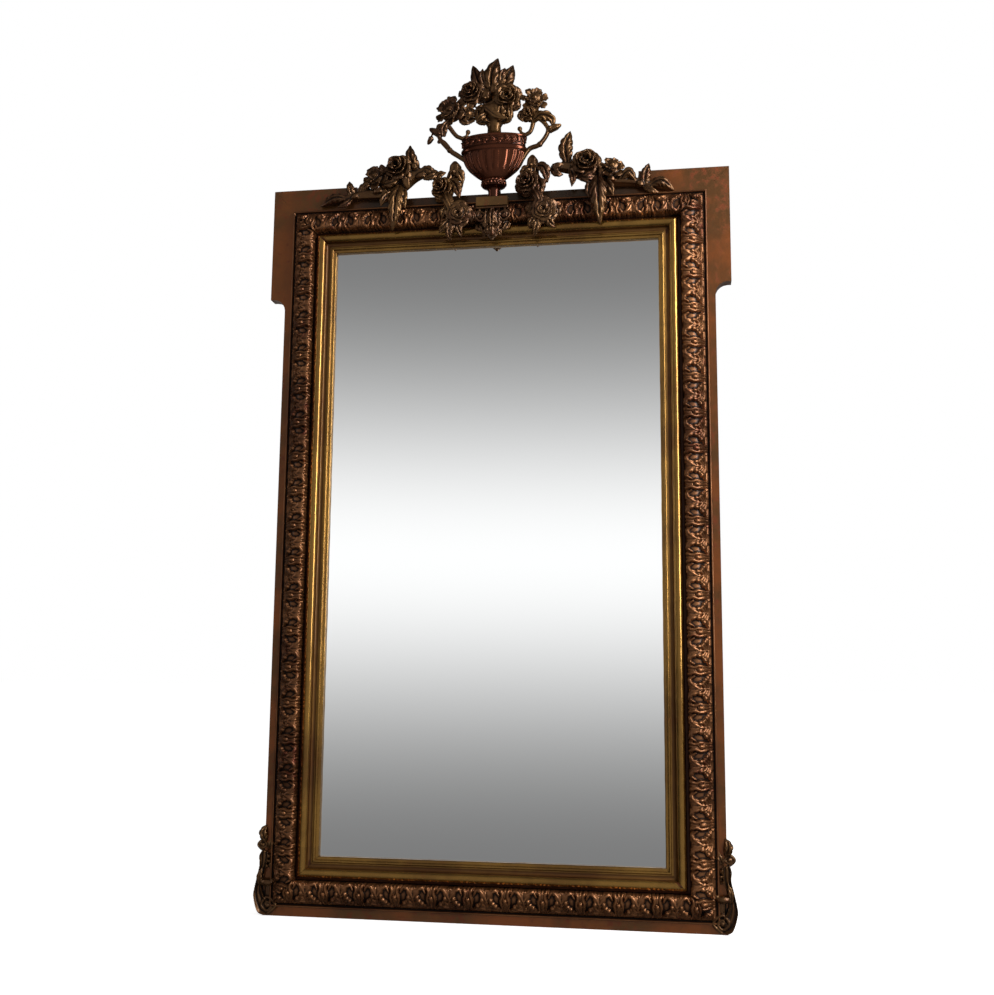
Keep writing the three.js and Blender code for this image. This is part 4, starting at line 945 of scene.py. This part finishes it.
def urn_neck():
    work = Sculpture()
    outline = smooth_line([
        (22.5, 2), (21.5, 5), (16.5, 10), (15, 16), (15, 25), (17.5, 30), (18.8, 32.5), (21, 35), (28.5, 42),
        (33.5, 52), (33.8, 60), (31, 68), (24, 73.4), (5, 73.8)], 6)
    work.turned([(0.5, 0.5), (22.8, 0.5), *outline], URN_RIM, STEM_FLATNESS, cup_ribs)
    foot, rim = URN_RIM + 33, CUP_RIM - 2
    for sweep, half_width in [(-1.25, 12), (-0.5, 13), (0.5, 13), (1.25, 12)]:
        sine, cosine = math.sin(sweep), math.cos(sweep)
        path = [(sine * reach, height, URN_PROUD + STEM_FLATNESS * cosine * reach)
                for reach, height in [(18, foot), (30, foot + 10), (35, foot + 24), (33, rim - 4)]]
        work.leaf(path, half_width, 3, cup=0.1, thickness=4)
    work.leaf([(-20, 184, 44), (-6, 170, 49), (12, 154, 51), (36, 147.5, 49)], 8.5, 3, 0.5, 4, -0.5)
    work.leaf([(34, 190, 36), (37, 172, 40), (38, 156, 41), (37, 143, 38)], 7, 3, 0.4, 4)
    work.leaf([(-14, 166, 42), (-26, 156, 44), (-37, 146, 40)], 8, 3, 0.4, 4)
    work.fused("leafy_urn_cup", "urn_neck", slot="urn_gilt")


def pendant():
    work = Sculpture()
    top = PLINTH_TOP - PLINTH_HEIGHT - 0.3
    cheek = [(37, 0), (38, -8), (29, -30), (19, -44), (8, -52)]
    work.slab([*[(-x, top + h) for x, h in reversed(cheek)], *[(x, top + h) for x, h in cheek]], 0, 31)
    work.slab([(-36, top - 0.4), (-35, top - 5), (35, top - 5), (36, top - 0.4)], 0, 41)
    for side in (-1, 1):
        volute = (side * VOLUTE_OUT, top - VOLUTE_DROP, 37)
        work.spiral(volute, [13.5, 13, 12.5, 10.5, 8, 6.5, 5, 3], TURN / 4, side > 0, 3.0, 0.3)
        work.ball(volute, (4, 4, 3.6))
        work.slab([(volute[0] + 12 * math.cos(a), volute[1] + 12 * math.sin(a))
                   for a in np.linspace(0, TURN, 25)[:-1]], 0, 35)
        work.leaf([(side * 33, top - 30, 24), (side * 30, top - 42, 30), (side * 20, top - 53, 33)], 8)
        work.leaf([(side * 12, top - 5, 34), (side * 12, top - 26, 39), (side * 13, top - 50, 36)], 7.5)
        work.leaf([(side * 6, top - 48, 34), (side * 15, top - 56, 37), (side * 20, top - 66, 31)], 6.5, 3)
        work.rod([(side * 20, top - 34, 36), (side * 15, top - 44, 37), (side * 8, top - 54, 36)],
                 [3, 2.6, 2])
    work.leaf([(0, top - 4, 36), (0, top - 26, 42), (0, top - 53, 39)], 9, 5, cup=0.4)
    work.ball((0, DROP_HEIGHT, DROP_PROUD), (12.6, 13, 12.6), 9, 0.07)
    for k in range(5):
        sine, cosine = math.sin((k - 2) * 0.62), math.cos((k - 2) * 0.62)
        work.leaf([
            (5 * sine, -88, DROP_PROUD + 1 + 4 * cosine), (12.4 * sine, -95, DROP_PROUD + 12.4 * cosine),
            (12.8 * sine, -106, DROP_PROUD + 12.2 * cosine)], 5, 2, thickness=2.4)
    work.rod([(0, -109, 34), (0, -118.6, 34)], [5, 4.4, 2.2])
    work.ball((0, -112, 34), (5.4, 2, 5.4))
    work.fused("carved_pendant", "pendant_bracket")


# ---- The flowers on the crest ----------------------------------------------------------------------


def bouquet():
    rose = Sculpture()
    rose.rose((30, 205.5, 32), 29.5, (0.05, -0.1, 1), 0.4)
    rose.leaf([(34, 188, 22), (50, 184, 26), (60, 192, 24)], 8)
    rose.fused("full_rose", "large_rose")
    half = Sculpture()
    half.rose((-49, 223.5, 26), 25, (-0.15, 0.05, 1), 1.0)
    for angle in np.linspace(0.5, 5.6, 7):
        half.petal(half.bloom((-49, 223.5, 20), 27.5), angle, 0.4, 1.0, -0.1, 0.3, 0.1, 0.09, 0.08, 0.06)
    half.fused("half_open_rose", "small_rose")
    leaves = Sculpture()
    leaves.ball((-8, 217, 10), (22, 30, 17), 7, 0.06)
    leaves.bud((-17, 200, 26), (-15, 228, 32), 11)
    leaves.bud((2, 214, 24), (-1, 240, 30), 9.5)
    leaves.leaf([(-24, 222, 12), (-38, 258, 18), (-51, 297.5, 10)], 14, 3, cup=0.35, thickness=4.4, cut=0.05)
    leaves.leaf([(-8, 222, 14), (-5, 268, 22), (6, 310.5, 10)], 18, cup=0.3, thickness=4.6, cut=0.05)
    leaves.leaf([(12, 222, 14), (28, 258, 18), (40, 291.5, 10)], 16, cup=0.35, thickness=4.4, cut=0.05)
    leaves.leaf([(-20, 238, 16), (-28, 262, 24), (-26, 282, 22)], 8.5)
    leaves.leaf([(16, 236, 18), (17, 262, 26), (24, 280, 22)], 9)
    leaves.leaf([(-14, 192, 20), (-30, 186, 28), (-42, 190, 26)], 9)
    leaves.leaf([(2, 190, 26), (-8, 182, 36), (-20, 180, 38)], 8, 3)
    leaves.fused("bouquet_of_leaves", "bouquet_leaves")


def left_branch():
    work = Sculpture()
    work.rod([(-66, 121.5, 17), (-75, 125.5, 17), (-86, 132.5, 18), (-104, 157, 22)], [4.4, 4.8, 5.2])
    work.rod([(-72, 123.5, 17), (-62, 127.5, 17), (-58, 137.5, 17)], [4.4, 3.6, 3.2])
    work.ball((-58, 137.5, 17), 5.4)
    work.rod([(-60, 70, 17), (-78, 83, 17), (-98, 98, 18), (-121, 127, 20), (-114, 144, 21), (-104, 157, 22)],
             [5, 5.6, 5, 4.6, 5], 5, 0.08)
    work.ball((-98, 98, 18), (6.6, 6.6, 6.2))
    work.bud((-114, 132, 20), (-144, 150, 20), 8)
    work.rod([(-98, 102, 18), (-112, 118, 20), (-126, 117, 20)], [4, 3.6, 4.4])
    work.rod([(-120, 130, 20), (-132, 138, 20), (-140, 133, 20)], [3, 2.2, 2])
    work.bud((-137, 132, 20), (-147, 113, 20), 5.8)
    work.leaf([(-112, 128, 22), (-110, 148, 27), (-98, 166, 26)], 9)
    work.leaf([(-104, 150, 22), (-118, 150, 26), (-130, 140, 24)], 8, 3)
    work.open_flower((-96, 187, 22), 32, 6, (-0.25, 0.15, 1), 0.5)
    work.open_flower((-56, 176, 25), 19, 5, (0.1, -0.2, 1), 0.1)
    work.leaf([(-74, 170, 22), (-66, 158, 28), (-52, 152, 26)], 8, 3)
    work.fused("left_flower_branch", "left_branch")


def right_branch():
    work = Sculpture()
    work.rod([(64, 121.5, 17), (72, 124.5, 17), (81, 132.5, 18), (88, 157, 22)], [4.4, 4.8, 5.2])
    work.rod([(70, 122.5, 17), (60, 127.5, 17), (56, 137.5, 17)], [4.4, 3.6, 3.2])
    work.ball((56, 137.5, 17), 5.4)
    work.rod([(52, 50, 17), (75, 88, 17), (100, 99, 18), (118, 128, 20), (104, 152, 22), (88, 158, 22)],
             [4.6, 5.4, 5, 4.6, 5], 5, 0.08)
    work.ball((100, 99, 18), (6.4, 6.4, 6))
    work.leaf([(84, 150, 24), (104, 160, 30), (126, 152, 26), (128, 132, 20)], 11, thickness=4)
    work.bud((114, 127, 20), (147, 140, 20), 7.6)
    work.open_flower((88, 200, 22), 27, 7, (0.2, 0.2, 1), 0.3)
    work.rose((76, 168, 24), 17, (-0.1, -0.2, 1), 0.2)
    work.leaf([(66, 178, 22), (58, 164, 26), (64, 150, 24)], 7, 3)
    work.fused("right_flower_branch", "right_branch")


def left_swag():
    work = Sculpture()
    work.bud((-84, 34, 18), (-86, 72, 18), 14)
    work.leaf([(-92, 48, 20), (-74, 40, 28), (-66, 14, 26)], 10)
    work.rod([(-86, 56, 12), (-94, 30, 12), (-104, 4, 16), (-96, -26, 40), (-82, -56, 42)],
             [12, 13, 12, 11, 9], 9, 0.13)
    work.rod([(-82, -50, 40), (-88, -88, 36), (-90, -106, 30)], [9, 8, 2.4], 5, 0.12)
    work.rose((-110, 5, 29), 25.5, (-0.3, 0.1, 1), 0.5)
    work.leaf([(-96, 26, 28), (-80, 10, 36), (-70, -24, 43)], 11, 5)
    work.leaf([(-128, 22, 16), (-122, 40, 22), (-104, 46, 22)], 9)
    work.bud((-76, 2, 30), (-66, 16, 32), 6)
    work.rose((-73, -58, 43), 27, (0.05, -0.05, 1), 0.1)
    work.leaf([(-92, -68, 38), (-104, -84, 42), (-116, -98, 36)], 9)
    work.leaf([(-84, -74, 40), (-93, -96, 39), (-91, -115, 31)], 9, 5)
    work.leaf([(-78, -74, 38), (-72, -92, 38), (-66, -108, 30)], 8)
    work.leaf([(-54, -46, 36), (-44, -60, 38), (-46, -78, 34)], 7)
    work.leaf([(-96, -40, 38), (-106, -50, 40), (-108, -66, 36)], 7.5)
    work.fused("left_flower_swag", "left_swag")


def right_swag():
    work = Sculpture()
    work.bud((84, 40, 18), (84, 76, 18), 13)
    work.leaf([(88, 50, 18), (110, 42, 26), (118, 8, 24)], 11)
    work.rod([(84, 58, 12), (84, 30, 12), (80, 4, 16), (98, -26, 40), (108, -58, 42)],
             [12, 13, 12, 11, 9], 9, 0.13)
    work.rod([(108, -50, 40), (100, -90, 36), (92, -106, 30)], [9, 8, 2.4], 5, 0.12)
    work.rose((75, 8, 29), 26.5, (-0.2, 0.1, 1), 0.9)
    work.leaf([(94, 22, 28), (104, -4, 38), (98, -34, 44)], 11, 5)
    work.leaf([(60, 26, 18), (70, 42, 24), (88, 46, 22)], 9)
    work.bud((104, 4, 30), (118, 14, 30), 6)
    work.rose((111, -59, 43), 28, (0.1, -0.05, 1), 0.5)
    work.leaf([(116, -74, 38), (126, -88, 40), (136, -98, 34)], 9)
    work.leaf([(100, -74, 40), (95, -96, 39), (89, -115, 31)], 9, 5)
    work.leaf([(96, -70, 40), (84, -84, 40), (80, -98, 34)], 8)
    work.leaf([(132, -46, 36), (142, -60, 38), (140, -76, 34)], 7)
    work.leaf([(88, -40, 38), (80, -52, 40), (80, -68, 36)], 7.5)
    work.fused("right_flower_swag", "right_swag")


def left_garland():
    work = Sculpture()
    work.rod([(-122, 44, 14), (-150, 52, 12), (-176, 46, 10), (-205, 28, 8), (-240, 13, 6)],
             [8, 12, 14, 17, 15], 6, 0.08)
    work.rod([(-230, 12, 5), (-265, 11, 5), (-300, 10, 5), (-345, 2, 6), (-391, -10, 6)],
             [16, 13, 10, 6, 2.6], 5, 0.1)
    work.leaf([(-168, 52, 14), (-184, 84, 22), (-188, 118, 14)], 13, cup=0.4, thickness=4.2)
    work.leaf([(-130, 44, 16), (-146, 56, 22), (-164, 58, 20)], 9)
    work.leaf([(-122, 46, 18), (-136, 38, 24), (-156, 32, 22)], 8)
    work.bud((-150, 46, 18), (-172, 38, 24), 7)
    work.bud((-196, 40, 24), (-186, 10, 26), 10)
    work.rose((-210, 60, 22), 31, (-0.1, 0.1, 1), 0.3)
    work.bud((-172, 54, 22), (-178, 72, 26), 7.5)
    work.open_flower((-262, 46, 18), 27, 5, (-0.2, 0.2, 1), 0.9)
    work.leaf([(-252, 26, 16), (-232, 24, 28), (-206, 34, 28)], 9, cup=0.4)
    work.leaf([(-268, 34, 12), (-286, 28, 18), (-296, 12, 14)], 8)
    work.leaf([(-278, 20, 10), (-292, 26, 16), (-306, 12, 12)], 7.5)
    work.bud((-246, 18, 16), (-268, 10, 18), 8)
    work.leaf([(-316, 6, 10), (-322, 26, 14), (-325, 44, 10)], 9.5, cup=0.4)
    work.bud((-304, 10, 12), (-318, 0, 16), 6)
    work.leaf([(-206, 26, 20), (-210, -14, 42), (-212, -50, 46), (-219, -88, 36)],
              15, 6, cup=0.35, thickness=4.4)
    work.leaf([(-196, 14, 24), (-194, -14, 38), (-190, -40, 42)], 8)
    work.leaf([(-226, 10, 20), (-240, -12, 34), (-246, -30, 36)], 9)
    work.leaf([(-328, 4, 8), (-358, 4, 14), (-391, -12, 8)], 10.5, 5, cup=0.4)
    work.leaf([(-318, 2, 10), (-332, -12, 16), (-350, -18, 16)], 7)
    work.fused("left_flower_garland", "left_garland", voxel=1.15)


def right_garland():
    work = Sculpture()
    work.rod([(122, 42, 14), (144, 46, 12), (170, 42, 10), (205, 26, 8), (240, 13, 6)],
             [8, 12, 14, 17, 15], 6, 0.08)
    work.rod([(230, 12, 5), (262, 11, 5), (296, 7, 5), (340, -3, 6), (384, -17, 6)],
             [16, 13, 10, 6, 2.6], 5, 0.1)
    work.leaf([(160, 50, 14), (156, 86, 22), (166, 128, 14)], 15, 5, cup=0.3, thickness=4.2)
    work.leaf([(166, 46, 16), (172, 20, 24), (169, -4, 24)], 9)
    work.bud((126, 40, 18), (150, 50, 22), 9)
    work.leaf([(124, 42, 18), (138, 28, 24), (152, 26, 20)], 8)
    work.rose((200, 46, 22), 32, (0.1, 0.1, 1), 0.7)
    work.leaf([(184, 20, 24), (200, 10, 34), (222, 14, 30)], 9)
    work.open_flower((254, 36, 18), 26, 5, (0.25, 0.5, 1), 0.4)
    work.bud((236, 16, 20), (228, 34, 28), 8)
    work.bud((244, 14, 18), (262, 8, 20), 7)
    work.leaf([(270, 8, 14), (290, 24, 22), (306, 4, 14)], 9.5, cup=0.4)
    work.leaf([(322, -6, 10), (326, 22, 14), (333, 46, 10)], 11, 5, cup=0.3)
    work.bud((306, 2, 14), (322, -6, 16), 7)
    work.leaf([(224, 20, 20), (226, -16, 42), (228, -54, 46), (230, -98, 36)], 17, 6, cup=0.35, thickness=4.4)
    work.leaf([(212, 10, 24), (206, -14, 38), (206, -38, 42)], 8)
    work.leaf([(240, 8, 20), (252, -14, 34), (258, -34, 34)], 9)
    work.leaf([(330, -6, 8), (358, 2, 14), (386, -18, 8)], 10.5, 5, cup=0.4)
    work.leaf([(320, -6, 10), (338, -18, 16), (354, -24, 14)], 7)
    work.fused("right_flower_garland", "right_garland", voxel=1.15)


# ---- The scrolls at the lower corners --------------------------------------------------------------

SCROLL_DEPTH = 38
SCROLL_BACK = -27.5  # proud of the carcass, so close to the wall
CARCASS_DEPTH = 28
ROSETTE = (-11, 21, 33)


def beside_corner(out, height, depth):
    """From millimetres out from the corner, up from the foot, and off the wall."""
    return (SIDE_EDGE / MM + out, height - FRAME_HEIGHT, depth - CARCASS_DEPTH)


def path_beside(*places):
    return [beside_corner(*place) for place in places]


def reeded_console():
    """The rings of the S-shaped body, with reeds along its front."""
    share = np.linspace(0, 1, 60)
    outside = resampled(smooth_line([
        (-6, 1), (9, 9), (18.6, 38), (18, 52), (14, 72), (7.5, 100), (8.5, 118), (4, 128)], 8), share)
    inside = resampled(smooth_line([
        (-9, 30), (-3, 40), (3, 56), (-1, 76), (-6, 96), (-9, 112), (-10, 122), (-7, 129)], 8), share)
    side = np.linspace(0, 1, 21)[None, :]
    face = inside[:, None] * (1 - side[..., None]) + outside[:, None] * side[..., None]
    reeds = 1.6 * np.cos(TURN * 2 * side) - 3.6 * np.sin(math.pi * side) ** 0.7
    depth = SCROLL_DEPTH - 2.2 + reeds + 1.6 * np.sin(share * 9)[:, None]
    front = np.concatenate([face, depth[..., None]], -1)
    back = np.concatenate([face, np.full(depth.shape, 0.5)[..., None]], -1)
    return [path_beside(*ring) for ring in np.concatenate([front, back[:, ::-1]], 1)]


def scroll(name, node, mirrored):
    work = Sculpture()
    work.loft(reeded_console())
    centre = beside_corner(*ROSETTE)
    disc = [(centre[0] + 17 * math.cos(a), centre[1] + 17.5 * math.sin(a))
            for a in np.linspace(0, TURN, 33)[:-1]]
    work.slab(disc, SCROLL_BACK, 3)
    work.spiral(centre, [18.2, 17.4, 16.2, 13, 10.5, 9, 7.4, 5.4], -TURN / 4, True, 3.3, 0.25)
    work.ball(centre, 5)
    work.rod(path_beside((-22, 66, 34), (-8, 66, 37), (4, 66, 34)), [6, 7, 6], 8, 0.1)
    work.ball(beside_corner(-20, 70, 34), 5.4)
    for out in (-14, -10.5, -7):
        work.rod(path_beside((out, 36, 30), (out - 0.5, 50, 31), (out, 62, 30)), 1.8)
    web = path_beside((-18, 36, 0), (-18, 64, 0), (2, 64, 0), (0, 36, 0))
    work.slab([place[:2] for place in web], SCROLL_BACK, 0)
    for place, size in [((-11, 118, 33), 4.4), ((-12, 108, 33), 3.8), ((-8, 98, 33), 3.4), ((4, 82, 35), 3)]:
        work.ball(beside_corner(*place), size)
    work.rod(path_beside((-12, 90, 24), (-12, 108, 26), (-10, 124, 26)), [4, 5, 4])
    work.spiral(beside_corner(4, 139, 26), [11, 10.4, 9.6, 8, 6.4, 4.6, 3], -TURN / 4, False, 3.4, 0.4)
    work.ball(beside_corner(4, 139, 22), (9.5, 9.5, 7))
    work.ball(beside_corner(4, 139, 28), 4)
    work.leaf(path_beside((-2, 146, 29), (3, 164, 33), (-3, 181, 28)), 9, cup=0.4)
    work.leaf(path_beside((-8, 130, 30), (-14, 142, 34), (-16, 156, 31)), 6.5, 3)
    work.leaf(path_beside((6, 60, 36), (6, 78, 40), (1, 96, 37)), 5.5)
    work.fused(name, node, mirrored=mirrored)


def crest_and_scrolls():
    for carve in (urn_foot, urn_bowl, urn_neck, pendant, bouquet, left_branch, right_branch,
                  left_swag, right_swag, left_garland, right_garland):
        carve()
    scroll("right_scroll_bracket", "right_corner_scroll", False)
    scroll("left_scroll_bracket", "left_corner_scroll", True)


# ---- The carcass and the back ----------------------------------------------------------------------


def dressed(material, slot, *names, bevel=0.0):
    """CAD nodes that keep their shape, with their edges eased."""
    for name in names:
        node = NODES[name]
        node.data.materials.clear()
        node.data.materials.append(material)
        if bevel:
            eased = node.modifiers.new("eased edges", "BEVEL")
            eased.width = bevel
            eased.segments = 2
            eased.limit_method = "ANGLE"


def carcass_and_back():
    dressed(BOARD, "board_gilt", "left_stile", "right_stile", "top_rail", "bottom_rail", "left_ear_upright",
            "right_ear_upright", "left_ear_head", "right_ear_head", bevel=0.9 * MM)
    dressed(PLINTH, "board_gilt", "plinth_block", bevel=1.2 * MM)
    dressed(GLASS, "mirror_plate", "mirror_glass")
    pine = [name for name in NODES
            if "back_board" in name or "glazing_block" in name or name == "back_cross_rail"]
    dressed(PINE, "pine", *pine, bevel=0.5 * MM)
    iron = [name for name in NODES if "hanger" in name or "strap" in name]
    dressed(IRON, "iron", *iron)


# ---- Floor, light and camera -----------------------------------------------------------------------

WHITE = (1.0, 1.0, 1.0, 1.0)
SOFT_LIGHT = 0.34
# The pale band that only the glass shows, by the z of a direction.
GLOW_MIDDLE, GLOW_REACH = 0.096, 0.263
GLOW_PEAK, GLOW_LOW, GLOW_GAMMA = 1.03, 0.494, 2.2
# The dim room that the gilding shows. It is brighter towards one side, and a little behind the object.
ROOM_FACING = (0.3, -0.95, 0.12)
ROOM_DARK, ROOM_BRIGHT, ROOM_BEHIND = 0.02, 0.42, 0.2
CAMERA_PLACE = (0.3838, -2.3864, -0.9683)
CAMERA_FORWARD = (-0.1547, 0.9769, 0.1473)
CAMERA_UP = (0.0144, -0.1468, 0.9891)
CAMERA_LENS = 41.89
CAMERA_SENSOR = 36.0


def surroundings():
    """White behind the object, soft light on it, and a pale band to reflect."""
    world = bpy.data.worlds.new("surroundings")
    bpy.context.scene.world = world
    world.use_nodes = True
    world.node_tree.nodes.clear()
    nodes = Nodes(world.node_tree)

    def light(tint, strength):
        return nodes.node("Background", Color=tint, Strength=strength).outputs[0]

    direction = nodes.node("TexCoord").outputs["Generated"]
    height = nodes.node("SeparateXYZ", Vector=direction).outputs["Z"]
    away = nodes.math("ABSOLUTE", nodes.math("SUBTRACT", height, GLOW_MIDDLE))
    band = nodes.ease(away, 0.0, GLOW_REACH, GLOW_PEAK, GLOW_LOW)
    facing = nodes.operation("VectorMath", "DOT_PRODUCT", direction, ROOM_FACING).outputs["Value"]
    room = nodes.ease(facing, 0.1, 1.0, ROOM_DARK, ROOM_BRIGHT)
    behind = nodes.ramp(facing, -0.3, -1.0, 0.0, ROOM_BEHIND)
    path = nodes.node("LightPath").outputs
    dim = light((1.0, 0.97, 0.94, 1.0), nodes.plus(room, behind))
    mirrored = light(WHITE, nodes.math("POWER", band, GLOW_GAMMA))
    soft = light((1.0, 0.99, 0.97, 1.0), SOFT_LIGHT)
    glossy = nodes.mix(path["Is Singular Ray"], dim, mirrored)
    unseen = nodes.mix(path["Is Glossy Ray"], soft, glossy)
    nodes.node("OutputWorld", Surface=nodes.mix(path["Is Camera Ray"], unseen, light(WHITE, 1.0)))


def lamp(name, place, target, size, power, tint):
    data = bpy.data.lights.new(name, "AREA")
    data.shape = "RECTANGLE"
    data.size, data.size_y = size
    data.energy = power
    data.color = tint
    made = bpy.data.objects.new(name, data)
    made.location = place
    made.rotation_euler = (Vector(target) - Vector(place)).to_track_quat("-Z", "Y").to_euler()
    bpy.context.scene.collection.objects.link(made)


def lamps():
    lamp("window", place=(1.45, -1.05, 0.2), target=(0.2, 0, -0.55), size=(0.5, 2.4), power=46,
         tint=(1.0, 0.985, 0.96))
    lamp("far_window", place=(-2.4, -1.2, 0.1), target=(0, 0, -0.6), size=(0.6, 2.0), power=6,
         tint=(1.0, 0.97, 0.95))


def floor():
    """A pale floor that the camera sees as white, apart from the object's shadow."""
    bpy.ops.mesh.primitive_plane_add(size=60, location=(0, 0, FRAME_FOOT))
    made = bpy.context.object
    made.name = "floor"
    made.visible_glossy = False
    finish = Finish("pale_floor")
    cloud = finish.noise(3.0, 3.0)
    finish.set("Base Color", finish.blend(cloud, colour(238, 238, 236), colour(243, 243, 242)))
    finish.set("Roughness", 0.9)
    plain = finish.shader.outputs[0]
    glow = finish.node("Emission", Color=WHITE, Strength=0.75).outputs[0]
    both = finish.node("AddShader", plain, glow).outputs[0]
    seen = finish.node("LightPath").outputs["Is Camera Ray"]
    finish.feed(finish.tree.nodes["Material Output"].inputs["Surface"], finish.mix(seen, plain, both))
    made.data.materials.append(finish.material)


def camera():
    data = bpy.data.cameras.new("camera")
    data.sensor_fit = "HORIZONTAL"
    data.sensor_width = CAMERA_SENSOR
    data.lens = CAMERA_LENS
    made = bpy.data.objects.new("camera", data)
    back = -Vector(CAMERA_FORWARD).normalized()
    right = Vector(CAMERA_UP).cross(back).normalized()
    turn = Matrix((right, back.cross(right), back)).transposed().to_4x4()
    made.matrix_world = Matrix.Translation(CAMERA_PLACE) @ turn
    bpy.context.scene.collection.objects.link(made)
    bpy.context.scene.camera = made


camera()
surroundings()
lamps()
floor()
carcass_and_back()
for side in SIDES:
    sight_moulding(side)
    leaf_moulding(side)
crest_and_scrolls()
bpy.context.scene.view_settings.view_transform = "Standard"
